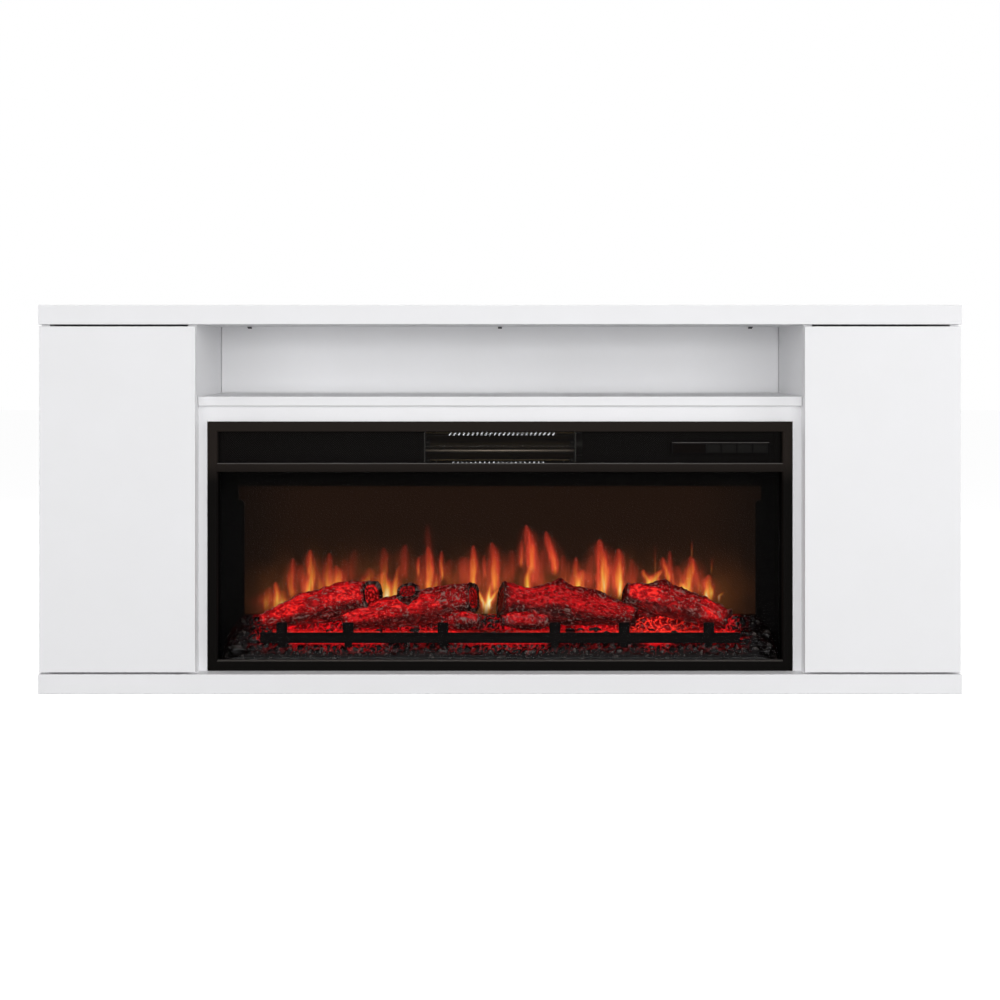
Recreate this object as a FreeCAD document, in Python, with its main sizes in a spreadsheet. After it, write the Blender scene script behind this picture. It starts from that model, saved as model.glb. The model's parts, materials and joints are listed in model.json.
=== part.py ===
import FreeCAD, Part
import math
import os
import re
import Sketcher
from FreeCAD import Placement, Rotation, Vector

# Electric fireplace stand: a white lacquered cabinet with two push-to-open doors, an open niche
# and a log-effect fire insert in its middle bay.
# X runs to the right, Y from front to back, Z up. The origin is on the floor, under the middle.

doc = FreeCAD.newDocument("fireplace_stand")
sizes = doc.addObject("Spreadsheet::Sheet", "sizes")

# Driving dimensions in millimetres.
driving = {
    # cabinet boards
    "overall_width": 1700,
    "overall_depth": 400,
    "overall_height": 716,
    "slab_thickness": 36,
    "slab_edge_round": 1.5,
    "side_inset": 2,
    "rear_inset": 4,
    "panel_thickness": 16,
    "cheek_thickness": 16,
    "cheek_depth": 120,
    "bay_recess": 50,
    "niche_height": 133,
    "shelf_thickness": 18,
    "shelf_recess": 35,
    "shelf_side_gap": 1,
    "shelf_edge_round": 2,
    "rail_height": 29,
    "rail_thickness": 18,
    "back_thickness": 8,
    "back_groove": 1.6,
    "back_groove_depth": 4,
    "side_back_thickness": 4,
    # shelves behind the doors and their pins
    "inner_shelf_setback": 24,
    "inner_shelf_gap": 1,
    "pin_radius": 2.45,
    "pin_clearance": 0.05,
    "pin_embed": 8,
    "pin_reach": 10,
    "pin_setback": 60,
    # brackets between the top and the niche back
    "bracket_width": 8,
    "bracket_leg": 12,
    "bracket_drop": 4,
    "bracket_sheet": 2,
    "bracket_inset": 58,
    # doors
    "door_width": 287,
    "door_thickness": 18,
    "door_reveal": 3.5,
    "door_gap": 4,
    "door_edge_round": 1.2,
    "door_pivot_round": 2,
    # hinges
    "hinge_offset": 100,
    "cup_radius": 17.5,
    "cup_edge_gap": 3,
    "cup_depth": 11.5,
    "cup_wall": 1,
    "cup_lip": 1,
    "cup_flange_reach": 27,
    "hinge_sheet": 1.2,
    "hinge_pin_inset": 7.5,
    "hinge_pin_depth": 5,
    "hinge_pin_radius": 1.25,
    "hinge_pin_half_length": 10,
    "hinge_pin_clearance": 0.05,
    "arm_eye_radius": 2.2,
    "arm_sheet": 2,
    "arm_width": 10,
    "arm_length": 62,
    "plate_thickness": 3,
    "plate_setback": 24,
    "plate_length": 38,
    "plate_height": 32,
    # push latches
    "latch_drop": 75,
    "latch_width": 14,
    "latch_height": 14,
    "latch_length": 60,
    "latch_setback": 2,
    "latch_travel": 3,
    "latch_tip_gap": 0.3,
    "plunger_radius": 3.5,
    "plunger_clearance": 0.08,
    "plunger_length": 50,
    # fire insert: frame, glass, mesh and casing
    "insert_side_gap": 1,
    "insert_top_gap": 0.5,
    "frame_proud": 4,
    "frame_depth": 20,
    "frame_side": 17.5,
    "frame_head": 18.5,
    "frame_sill": 18,
    "frame_edge_round": 1.5,
    "ledge_height": 15,
    "mesh_height": 60,
    "mesh_sheet": 1,
    "mesh_lap": 5,
    "mesh_columns": 40,
    "mesh_rows": 2,
    "mesh_web": 3,
    "glass_thickness": 4,
    "glass_lap": 5,
    "shell_side_gap": 6,
    "shell_top_gap": 3,
    "shell_depth": 200,
    "shell_sheet": 1.5,
    "vent_count": 14,
    "vent_margin": 146,
    "vent_bridge": 12,
    "vent_height": 5,
    "vent_drop": 10,
    "deck_drop": 8,
    "valance_gap": 3,
    "valance_height": 41,
    # flame screen, ember bed and grate
    "screen_setback": 186,
    "screen_thickness": 3,
    "screen_lap": 20,
    "flange_width": 45.5,
    "flange_step": 11,
    "flange_drop": 68,
    "flange_round": 8,
    "bed_gap": 2,
    "bed_side_gap": 16.5,
    "bed_sheet": 6,
    "bed_lip": 20,
    "bed_rise": 45,
    "bed_run": 32,
    "mound_setback": 66,
    "mound_run": 20,
    "mound_rise": 24,
    "coal_count": 21,
    "coal_size": 11,
    "coal_height": 10,
    "prop_length": 76,
    "prop_radius": 19,
    "prop_setback": 20,
    "prop_room": 14,
    "prop_swell": 4,
    "log_setback": 76,
    # each log's rise above the shelf and radius at its ends, its upward bow and its swelling halfway
    "log_1_left_rise": 12.5,
    "log_1_right_rise": 64.5,
    "log_1_left_radius": 14,
    "log_1_right_radius": 25,
    "log_1_bow": 3,
    "log_1_swell": 12,
    "log_2_left_rise": 14,
    "log_2_right_rise": 58.5,
    "log_2_left_radius": 19,
    "log_2_right_radius": 26,
    "log_2_bow": -1,
    "log_2_swell": 8,
    "log_3_left_rise": 54.5,
    "log_3_right_rise": 22,
    "log_3_left_radius": 31,
    "log_3_right_radius": 17,
    "log_3_bow": 6,
    "log_3_swell": 9,
    "log_4_left_rise": 66,
    "log_4_right_rise": 15.5,
    "log_4_left_radius": 17,
    "log_4_right_radius": 18,
    "log_4_bow": 8,
    "log_4_swell": 11,
    "log_flat_share": 0.8,
    "log_knot_share": 0.08,
    "log_bark_share": 0.05,
    # sawn-off branch on the second log
    "stub_share": 0.53,
    "stub_lean": 6,
    "stub_reach": 33,
    "stub_lift": 20,
    "stub_rise": 55,
    "stub_radius": 19,
    # grate
    "grate_inset": 70,
    "grate_setback": 7,
    "grate_bar": 8,
    "grate_height": 19,
    "grate_level": 46,
    "prong_width": 20,
    "prong_height": 19,
    "prong_bevel": 1.5,
    "leg_depth": 3,
    "leg_width": 14,
    # flame rotor and lamps
    "rotor_level": 40,
    "rotor_end_room": 42.5,
    "rotor_swirl_gap": 14,
    "rotor_shaft_radius": 3,
    "rotor_clearance": 0.05,
    "flag_count": 14,
    "flag_length": 58,
    "flag_sheet": 0.8,
    "bearing_sheet": 6,
    "bearing_half": 12,
    "motor_gap_round": 13,
    "motor_length": 20,
    "motor_gap": 2,
    "motor_foot": 30,
    "strip_width": 12,
    "strip_height": 3,
    "strip_end_room": 56.5,
    # heater and blower
    "heater_half": 140,
    "heater_setback": 33,
    "heater_rise": 37,
    "reflector_radius": 26,
    "reflector_sheet": 1,
    "tube_radius": 5,
    "tube_wall": 1,
    "cap_radius": 7,
    "cap_length": 8,
    "holder_sheet": 2,
    "holder_depth": 62,
    "holder_height": 66,
    "blower_half": 120,
    "blower_rear_room": 58.5,
    "blower_radius": 20,
    "blower_sheet": 1.5,
    "blade_count": 16,
    "blade_depth": 6,
    "blade_sheet": 0.8,
    "blower_shaft_radius": 2.5,
    "blower_clearance": 0.05,
    "scroll_gap": 4,
    "scroll_side_gap": 3,
    "blower_motor_radius": 22,
    "blower_motor_length": 34,
    # controls
    "bezel_side_gap": 24.5,
    "bezel_width": 181,
    "bezel_height": 20.5,
    "bezel_rise": 18.5,
    "bezel_depth": 16,
    "bezel_wall": 1.6,
    "bezel_round": 1.2,
    "window_inset": 3,
    "window_width": 58,
    "window_height": 16,
    "key_first": 76,
    "key_pitch": 29.2,
    "key_width": 26,
    "key_height": 16,
    "key_gap": 0.3,
    "key_proud": 1,
    "key_travel": 1,
    "key_rim": 0.8,
    "key_round": 0.8,
    "key_stem": 4,
    "board_sheet": 1.6,
    "board_gap": 0.3,
    "switch_side": 6,
    "switch_height": 1.5,
    # mains inlet on the back of the casing
    "inlet_inset": 68,
    "inlet_rise": 60,
    "inlet_width": 48,
    "inlet_height": 30,
    "inlet_depth": 14,
    "inlet_wall": 5,
    "inlet_pin_radius": 2,
}

# Logs: each end's reach in X as a share of the bed's half length.
logs = {
    "log_1": (-0.875, -0.467),
    "log_2": (-0.585, -0.096),
    "log_3": (0.002, 0.504),
    "log_4": (0.456, 0.838),
}
for log, (left, right) in logs.items():
    driving[f"{log}_left_share"] = left
    driving[f"{log}_right_share"] = right

# Grate prongs, by their reach in X as a share of the grate's half length.
prongs = (-0.91, -0.633, -0.238, 0.229, 0.518, 0.871)
for place_in_row, share in enumerate(prongs, 1):
    driving[f"prong_share_{place_in_row}_of_half"] = share

# What follows from the driving dimensions.
derived = {
    "half_width": "overall_width / 2",
    "front": "-overall_depth / 2",
    "rear": "overall_depth / 2",
    "top_underside": "overall_height - slab_thickness",
    "carcass_edge": "half_width - side_inset",
    "side_inner": "carcass_edge - panel_thickness",
    "bay_half": "carcass_edge - door_width",
    "divider_outer": "bay_half + panel_thickness",
    "door_back": "front + door_thickness",
    "carcass_front": "door_back + door_gap",
    "carcass_rear": "rear - rear_inset",
    "door_bottom": "slab_thickness + door_reveal",
    "door_top": "top_underside - door_reveal",
    "door_height": "door_top - door_bottom",
    "shelf_top": "top_underside - niche_height",
    "shelf_bottom": "shelf_top - shelf_thickness",
    "rail_bottom": "shelf_bottom - rail_height",
    "bay_front": "front + bay_recess",
    "shelf_front": "front + shelf_recess",
    "niche_back_front": "carcass_rear - back_thickness",
    "side_back_front": "carcass_rear - side_back_thickness",
    "cheek_inner": "bay_half - cheek_thickness",
    "inner_shelf_level": "(slab_thickness + top_underside) / 2 - panel_thickness",
    "pin_level": "inner_shelf_level - pin_radius",
    "bracket_spread": "bay_half - bracket_inset",
    "pin_front": "carcass_front + pin_setback",
    "pin_rear": "side_back_front - pin_setback",
    "pin_hole_radius": "pin_radius + pin_clearance",
    "cup_offset": "cup_edge_gap + cup_radius",
    "cup_centre": "carcass_edge - cup_offset",
    "cup_bore": "cup_radius - cup_wall",
    "pivot_reach": "carcass_edge - hinge_pin_inset",
    "pivot_depth": "door_back - hinge_pin_depth",
    "hinge_low": "door_bottom + hinge_offset",
    "hinge_high": "door_top - hinge_offset",
    "plate_side": "side_inner - plate_thickness",
    "arm_side": "plate_side - arm_sheet",
    "latch_level": "door_top - latch_drop",
    "latch_front": "carcass_front + latch_setback",
    "latch_axis": "divider_outer + latch_width / 2",
    "latch_bore": "plunger_radius + plunger_clearance",
    "plunger_tip": "door_back + latch_tip_gap",
    "plunger_rear": "plunger_tip + plunger_length",
    "frame_half": "cheek_inner - insert_side_gap",
    "frame_top": "rail_bottom - insert_top_gap",
    "frame_front": "bay_front - frame_proud",
    "frame_rear": "frame_front + frame_depth",
    "window_half": "frame_half - frame_side",
    "mesh_top": "frame_top - frame_head",
    "mesh_bottom": "mesh_top - mesh_height",
    "glass_top": "mesh_bottom - ledge_height",
    "glass_bottom": "slab_thickness + frame_sill",
    "glass_rear": "frame_rear + glass_thickness",
    "shell_half": "frame_half - shell_side_gap",
    "shell_top": "frame_top - shell_top_gap",
    "shell_rear": "frame_rear + shell_depth",
    "shell_inner": "shell_half - shell_sheet",
    "shell_floor": "slab_thickness + shell_sheet",
    "shell_ceiling": "shell_top - shell_sheet",
    "vent_pitch": "2 * (shell_half - vent_margin) / vent_count",
    "vent_length": "vent_pitch - vent_bridge",
    "vent_top": "shell_ceiling - vent_drop",
    "deck_level": "mesh_bottom - deck_drop",
    "deck_top": "deck_level + shell_sheet",
    "deck_rear": "shell_rear - shell_sheet",
    "screen_front": "front + screen_setback",
    "screen_rear": "screen_front + screen_thickness",
    "flange_front": "screen_front - shell_sheet",
    "flange_reach": "shell_inner - flange_width",
    "flange_upper": "flange_reach + flange_step",
    "flange_top": "deck_level - flange_drop",
    "screen_half": "flange_reach + screen_lap",
    "valance_rear": "flange_front - valance_gap",
    "valance_front": "valance_rear - shell_sheet",
    "bed_half": "shell_inner - bed_side_gap",
    "bed_front": "glass_rear + bed_gap",
    "bed_edge": "shell_floor + bed_lip",
    "bed_shelf": "bed_edge + bed_rise",
    "bed_crest": "bed_front + bed_run",
    "mound_foot": "bed_front + mound_setback",
    "mound_brow": "mound_foot + mound_run",
    "mound_top": "bed_shelf + mound_rise",
    "grate_half": "bed_half - grate_inset",
    "grate_front": "bed_front + grate_setback",
    "grate_rear": "grate_front + grate_bar",
    "grate_bottom": "shell_floor + grate_level",
    "grate_top": "grate_bottom + grate_height",
    "prong_top": "grate_top + prong_height",
    "leg_bottom": "bed_edge + bed_rise * (grate_setback + grate_bar - leg_depth) / bed_run",
    "log_line": "bed_front + log_setback",
    "rotor_room": "(deck_rear - screen_rear) / 2",
    "rotor_line": "screen_rear + rotor_room",
    "rotor_height": "shell_floor + rotor_level",
    "rotor_reach": "shell_inner - rotor_end_room",
    "flag_reach": "rotor_room - rotor_swirl_gap",
    "motor_radius": "rotor_room - motor_gap_round",
    "strip_half": "shell_inner - strip_end_room",
    "heater_line": "frame_rear + heater_setback",
    "heater_height": "deck_top + heater_rise",
    "blower_line": "deck_rear - blower_rear_room",
    "scroll_radius": "blower_radius + scroll_gap",
    "scroll_half": "blower_half + scroll_side_gap",
    "bezel_left": "window_half - bezel_side_gap - bezel_width",
    "bezel_bottom": "mesh_bottom + bezel_rise",
    "bezel_front": "frame_rear - bezel_depth",
    "key_middle": "bezel_bottom + bezel_height / 2",
    "key_front": "bezel_front - key_proud",
    "key_rim_front": "bezel_front + bezel_wall + key_gap / 2",
    "key_rim_rear": "key_rim_front + key_rim",
    "board_front": "frame_rear - board_sheet",
    "switch_front": "board_front - switch_height",
    "key_stem_rear": "switch_front - key_travel - board_gap",
    "inlet_offset": "shell_half - inlet_inset",
}

for row, (alias, number) in enumerate(driving.items(), 1):
    sizes.set(f"A{row}", alias)
    sizes.set(f"B{row}", str(number))
    sizes.setAlias(f"B{row}", alias)
for row, (alias, formula) in enumerate(derived.items(), 1):
    sizes.set(f"D{row}", alias)
    sizes.set(f"E{row}", "=" + formula)
    sizes.setAlias(f"E{row}", alias)
doc.recompute()

parts = []


def mm(alias):
    return float(sizes.get(alias))


def sized(text):
    # An expression on the sheet's aliases, such as "-half_width + side_inset".
    return re.sub(r"[a-z]\w*", lambda word: "sizes." + word.group(), text)


def between(low_and_high):
    return f"({low_and_high[1]}) - ({low_and_high[0]})"


def place(obj, x, y, z):
    for axis, text in zip("xyz", (x, y, z)):
        obj.setExpression(f"Placement.Base.{axis}", sized(text))


def keep(obj, label):
    # A finished sub-part: its label names its file.
    obj.Label = label
    parts.append(obj)
    return obj


def new_body(name):
    return doc.addObject("PartDesign::Body", name)


def new_sketch(body, role, offset):
    plane = next(f for f in body.Origin.OriginFeatures if f.Role == role)
    sketch = body.newObject("Sketcher::SketchObject", body.Name + "_sketch")
    sketch.AttachmentSupport = (plane, [""])
    sketch.MapMode = "FlatFace"
    sketch.setExpression("AttachmentOffset.Base.z", sized(offset))
    return sketch


def lock(sketch, line, x, y):
    # Holds the start point of a line, or the centre of a circle, at x, y from the sketch origin.
    point = 3 if isinstance(sketch.Geometry[line], Part.Circle) else 1
    spot = sketch.getPoint(line, point)
    for kind, text, now in (("DistanceX", x, spot.x), ("DistanceY", y, spot.y)):
        number = sketch.addConstraint(Sketcher.Constraint(kind, -1, 1, line, point, now))
        sketch.setExpression(f"Constraints[{number}]", sized(text))


def polygons(body, role, loops, offset="0"):
    # One sketch with a closed loop of straight lines for each list of corners.
    sketch = new_sketch(body, role, offset)
    for corners in loops:
        count = len(corners)
        first = len(sketch.Geometry)
        turn = 2 * math.pi / count
        start = [Vector(math.cos(turn * i), math.sin(turn * i), 0) for i in range(count)]
        for i in range(count):
            sketch.addGeometry(Part.LineSegment(start[i], start[(i + 1) % count]))
        for i in range(count):
            sketch.addConstraint(
                Sketcher.Constraint("Coincident", first + i, 2, first + (i + 1) % count, 1)
            )
        for i, (x, y) in enumerate(corners):
            lock(sketch, first + i, x, y)
    return sketch


def circles(body, role, rounds, offset="0"):
    # One sketch with a circle for each x, y, radius.
    sketch = new_sketch(body, role, offset)
    for x, y, radius in rounds:
        line = sketch.addGeometry(Part.Circle(Vector(0, 0, 0), Vector(0, 0, 1), 1))
        lock(sketch, line, x, y)
        number = sketch.addConstraint(Sketcher.Constraint("Radius", line, 1))
        sketch.setExpression(f"Constraints[{number}]", sized(radius))
    return sketch


def rectangle(x, y):
    return [(x[0], y[0]), (x[1], y[0]), (x[1], y[1]), (x[0], y[1])]


def pad(body, sketch, length):
    feature = body.newObject("PartDesign::Pad", body.Name + "_pad")
    feature.Profile = sketch
    feature.setExpression("Length", sized(length))
    return feature


def pocket(body, sketch, depth, reverse=False):
    doc.recompute()
    before = body.Shape.Volume
    feature = body.newObject("PartDesign::Pocket", body.Name + "_pocket")
    feature.Profile = sketch
    feature.Reversed = reverse
    feature.setExpression("Length", sized(depth))
    doc.recompute()
    if body.Shape.Volume > before - 1e-6:
        raise RuntimeError(f"a pocket of {body.Name} cut nothing")
    return feature


def wanted_edges(body, wanted):
    # The edges of a body so far whose box, in the body's own frame, is wanted.
    doc.recompute()
    edges = enumerate(body.Tip.Shape.Edges, 1)
    return body.Tip, [f"Edge{i}" for i, edge in edges if wanted(edge.BoundBox)]


def round_edges(body, radius, wanted):
    base = wanted_edges(body, wanted)
    feature = body.newObject("PartDesign::Fillet", body.Name + "_round")
    feature.Base = base
    feature.setExpression("Radius", sized(radius))
    return feature


def bevel_edges(body, size, wanted):
    base = wanted_edges(body, wanted)
    feature = body.newObject("PartDesign::Chamfer", body.Name + "_bevel")
    feature.Base = base
    feature.setExpression("Size", sized(size))
    return feature


def board(name, x, y, z):
    body = new_body(name)
    pad(body, polygons(body, "XY_Plane", [rectangle(("0", between(x)), ("0", between(y)))]), between(z))
    place(body, x[0], y[0], z[0])
    return body


def profile_along_x(name, corners, x):
    # A section in Y and Z, carried along X.
    body = new_body(name)
    pad(body, polygons(body, "YZ_Plane", [corners]), between(x))
    place(body, x[0], "0", "0")
    return body


def plate_facing_front(name, loops, y):
    # An outline in X and Z with its holes, between two depths in Y.
    body = new_body(name)
    pad(body, polygons(body, "XZ_Plane", loops), between(y))
    place(body, "0", y[1], "0")
    return body


def block(name, x, y, z):
    box = doc.addObject("Part::Box", name)
    box.setExpression("Length", sized(between(x)))
    box.setExpression("Width", sized(between(y)))
    box.setExpression("Height", sized(between(z)))
    place(box, x[0], y[0], z[0])
    return box


turns = {
    "x": Rotation(Vector(0, 1, 0), 90),
    "y": Rotation(Vector(1, 0, 0), -90),
    "z": Rotation(),
}


def rod(name, axis, radius, length, x, y, z):
    # A cylinder that starts at x, y, z and runs along an axis.
    cylinder = doc.addObject("Part::Cylinder", name)
    cylinder.setExpression("Radius", sized(radius))
    cylinder.setExpression("Height", sized(length))
    cylinder.Placement = Placement(Vector(), turns[axis])
    place(cylinder, x, y, z)
    return cylinder


def cut(name, base, tool):
    result = doc.addObject("Part::Cut", name)
    result.Base = base
    result.Tool = tool
    return result


def fuse(name, pieces):
    result = doc.addObject("Part::MultiFuse", name)
    result.Shapes = pieces
    result.Refine = True
    return result


def group(name, pieces):
    result = doc.addObject("Part::Compound", name)
    result.Links = pieces
    return result


def mirrored(name, source):
    # The right-hand twin of a left-hand piece.
    result = doc.addObject("Part::Mirroring", name)
    result.Source = source
    result.Normal = Vector(1, 0, 0)
    return result


# Top and base slabs
slab_x = ("-half_width", "half_width")
slab_y = ("front", "rear")
top = board("top_board", slab_x, slab_y, ("top_underside", "overall_height"))
base = board("base_board", slab_x, slab_y, ("0", "slab_thickness"))
for slab, label in ((top, "top_board"), (base, "base_board")):
    round_edges(slab, "slab_edge_round", lambda box: box.ZLength < 0.01)
    keep(slab, label)

# Upright panels of the carcass, each drilled for the shelf pins
upright_y = ("carcass_front", "carcass_rear")
upright_z = ("slab_thickness", "top_underside")
pin_rows = [
    (f"{depth} - carcass_front", "pin_level - slab_thickness", "pin_hole_radius")
    for depth in ("pin_front", "pin_rear")
]
side = board("left_side_panel", ("-carcass_edge", "-side_inner"), upright_y, upright_z)
pocket(side, circles(side, "YZ_Plane", pin_rows, "panel_thickness"), "pin_embed")
divider = board("left_divider", ("-divider_outer", "-bay_half"), upright_y, upright_z)
pocket(divider, circles(divider, "YZ_Plane", pin_rows), "pin_embed", reverse=True)
for upright, word in ((side, "side_panel"), (divider, "divider")):
    keep(upright, f"left_{word}")
    keep(mirrored(f"right_{word}", upright), f"right_{word}")

# Cheeks that flank the fire insert
cheek = board(
    "left_cheek",
    ("-bay_half", "-cheek_inner"),
    ("bay_front", "bay_front + cheek_depth"),
    ("slab_thickness", "rail_bottom"),
)
keep(cheek, "left_cheek")
keep(mirrored("right_cheek", cheek), "right_cheek")

# Niche: its floor, the rail below it and its back
shelf = board(
    "niche_shelf",
    ("-bay_half + shelf_side_gap", "bay_half - shelf_side_gap"),
    ("shelf_front", "niche_back_front"),
    ("shelf_bottom", "shelf_top"),
)
round_edges(shelf, "shelf_edge_round", lambda box: box.YMax < 1 and box.XLength > box.ZLength)
keep(shelf, "niche_shelf")
rail = board(
    "shelf_rail",
    ("-bay_half", "bay_half"),
    ("bay_front", "bay_front + rail_thickness"),
    ("rail_bottom", "shelf_bottom"),
)
keep(rail, "shelf_rail")

# Niche back between the dividers, with a shadow groove along its sides and foot
niche_back = plate_facing_front(
    "niche_back_panel",
    [rectangle(("-bay_half", "bay_half"), ("shelf_bottom", "top_underside"))],
    ("niche_back_front", "carcass_rear"),
)
groove = [
    ("-bay_half", "top_underside"),
    ("-bay_half + back_groove", "top_underside"),
    ("-bay_half + back_groove", "shelf_top + back_groove"),
    ("bay_half - back_groove", "shelf_top + back_groove"),
    ("bay_half - back_groove", "top_underside"),
    ("bay_half", "top_underside"),
    ("bay_half", "shelf_top"),
    ("-bay_half", "shelf_top"),
]
groove_sketch = polygons(niche_back, "XZ_Plane", [groove], "back_thickness")
pocket(niche_back, groove_sketch, "back_groove_depth")
keep(niche_back, "niche_back_panel")

# Thin backs and loose shelves of the two closed compartments
side_back = board(
    "left_side_back", ("-side_inner", "-divider_outer"), ("side_back_front", "carcass_rear"), upright_z
)
keep(group("side_back_panels", [side_back, mirrored("right_side_back", side_back)]), "side_back_panels")
inner_shelf = board(
    "left_inner_shelf",
    ("-side_inner + inner_shelf_gap", "-divider_outer - inner_shelf_gap"),
    ("carcass_front + inner_shelf_setback", "side_back_front - inner_shelf_gap"),
    ("inner_shelf_level", "inner_shelf_level + panel_thickness"),
)
keep(inner_shelf, "left_inner_shelf")
keep(mirrored("right_inner_shelf", inner_shelf), "right_inner_shelf")

pins = []
for depth in ("pin_front", "pin_rear"):
    for start in ("-side_inner - pin_embed", "-divider_outer - pin_reach"):
        pin = rod("shelf_pin", "x", "pin_radius", "pin_embed + pin_reach", start, depth, "pin_level")
        pins += [pin, mirrored("shelf_pin_right", pin)]
keep(group("shelf_pins", pins), "shelf_pins")

# Small angle brackets between the top slab and the niche back
bracket_corners = [
    ("niche_back_front", "top_underside"),
    ("niche_back_front - bracket_leg", "top_underside"),
    ("niche_back_front - bracket_leg", "top_underside - bracket_sheet"),
    ("niche_back_front - bracket_sheet", "top_underside - bracket_sheet"),
    ("niche_back_front - bracket_sheet", "top_underside - bracket_drop"),
    ("niche_back_front", "top_underside - bracket_drop"),
]
brackets = []
for reach in ("-bracket_spread", "0", "bracket_spread"):
    span = (f"{reach} - bracket_width / 2", f"{reach} + bracket_width / 2")
    brackets.append(profile_along_x("top_bracket", bracket_corners, span))
keep(group("top_brackets", brackets), "top_brackets")

# Doors: full overlay, bored at the back for two hinge cups
door = new_body("left_door")
door_outline = rectangle(("0", "door_width"), ("0", "door_height"))
pad(door, polygons(door, "XZ_Plane", [door_outline]), "door_thickness")
place(door, "-carcass_edge", "door_back", "door_bottom")
cup_rows = [
    ("cup_offset", "hinge_offset", "cup_radius"),
    ("cup_offset", "door_height - hinge_offset", "cup_radius"),
]
pocket(door, circles(door, "XZ_Plane", cup_rows), "cup_depth", reverse=True)
front_face = -mm("door_thickness") + 0.01
round_edges(door, "door_edge_round", lambda box: box.YMax < front_face)
upright_edge = mm("door_height") / 2
round_edges(
    door,
    "door_pivot_round",
    lambda box: box.XMax < 0.01 and box.YMin > -0.01 and box.ZLength > upright_edge,
)
keep(door, "left_door")
keep(mirrored("right_door", door), "right_door")


def hinge_cup(level):
    # A pressed cup with a screw flange, crossed by the pin that is riveted into its wall.
    well = rod("cup_well", "y", "cup_radius", "cup_depth", "-cup_centre", "door_back - cup_depth", level)
    flange = block(
        "cup_flange",
        ("-cup_centre - cup_radius - cup_lip", "-cup_centre + cup_radius + cup_lip"),
        ("door_back", "door_back + hinge_sheet"),
        (f"{level} - cup_flange_reach", f"{level} + cup_flange_reach"),
    )
    hollow = rod(
        "cup_hollow",
        "y",
        "cup_bore",
        "cup_depth - cup_wall + hinge_sheet",
        "-cup_centre",
        "door_back - cup_depth + cup_wall",
        level,
    )
    pin = rod(
        "hinge_pin",
        "z",
        "hinge_pin_radius",
        "2 * hinge_pin_half_length",
        "-pivot_reach",
        "pivot_depth",
        f"{level} - hinge_pin_half_length",
    )
    return fuse("hinge_cup", [cut("cup_pressing", fuse("cup_blank", [well, flange]), hollow), pin])


def hinge_arm(level):
    # A cranked arm: an eye on the pin, a neck into the cup and a tongue along the side panel.
    body = new_body("hinge_arm")
    neck = "arm_sheet / 2"
    tongue_out = "pivot_reach - plate_side"
    tongue_in = "pivot_reach - arm_side"
    crank = [
        ("0", f"-{neck}"),
        (tongue_in, f"-{neck}"),
        (tongue_in, "arm_length"),
        (tongue_out, "arm_length"),
        (tongue_out, neck),
        ("0", neck),
    ]
    pad(body, polygons(body, "XY_Plane", [crank]), "arm_width")
    pad(body, circles(body, "XY_Plane", [("0", "0", "arm_eye_radius")]), "arm_width")
    bore = circles(body, "XY_Plane", [("0", "0", "hinge_pin_radius + hinge_pin_clearance")])
    pocket(body, bore, "arm_width", reverse=True)
    place(body, "-pivot_reach", "pivot_depth", f"{level} - arm_width / 2")
    return body


def hinge_plate(level):
    return block(
        "hinge_plate",
        ("-side_inner", "-plate_side"),
        ("pivot_depth + plate_setback", "pivot_depth + plate_setback + plate_length"),
        (f"{level} - plate_height / 2", f"{level} + plate_height / 2"),
    )


levels = ("hinge_low", "hinge_high")
left_cups = [hinge_cup(level) for level in levels]
arms = [hinge_arm(level) for level in levels]
plates = [hinge_plate(level) for level in levels]
keep(group("left_hinge_cups", left_cups), "left_hinge_cups")
keep(group("right_hinge_cups", [mirrored("right_cup", cup) for cup in left_cups]), "right_hinge_cups")
keep(group("hinge_arms", arms + [mirrored("right_arm", arm) for arm in arms]), "hinge_arms")
keep(group("hinge_plates", plates + [mirrored("right_plate", plate) for plate in plates]), "hinge_plates")

# Push latches on the dividers, each with a sprung plunger behind the door's free edge
latch_block = block(
    "latch_block",
    ("-divider_outer - latch_width", "-divider_outer"),
    ("latch_front", "latch_front + latch_length"),
    ("latch_level - latch_height / 2", "latch_level + latch_height / 2"),
)
latch_hole = rod(
    "latch_hole",
    "y",
    "latch_bore",
    "plunger_rear + latch_travel + latch_tip_gap - latch_front",
    "-latch_axis",
    "latch_front",
    "latch_level",
)
latch = cut("latch_housing", latch_block, latch_hole)
keep(group("latch_housings", [latch, mirrored("right_latch_housing", latch)]), "latch_housings")
plunger = rod(
    "left_latch_plunger",
    "y",
    "plunger_radius",
    "plunger_length",
    "-latch_axis",
    "plunger_tip",
    "latch_level",
)
keep(plunger, "left_latch_plunger")
keep(mirrored("right_latch_plunger", plunger), "right_latch_plunger")

# Fire insert: the trim frame with its mesh window above and its glass window below
frame = plate_facing_front(
    "insert_frame",
    [
        rectangle(("-frame_half", "frame_half"), ("slab_thickness", "frame_top")),
        rectangle(("-window_half", "window_half"), ("mesh_bottom", "mesh_top")),
        rectangle(("-window_half", "window_half"), ("glass_bottom", "glass_top")),
    ],
    ("frame_front", "frame_rear"),
)
frame_face = -mm("frame_depth") + 0.01
round_edges(frame, "frame_edge_round", lambda box: box.YMax < frame_face)
keep(frame, "insert_frame")


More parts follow.
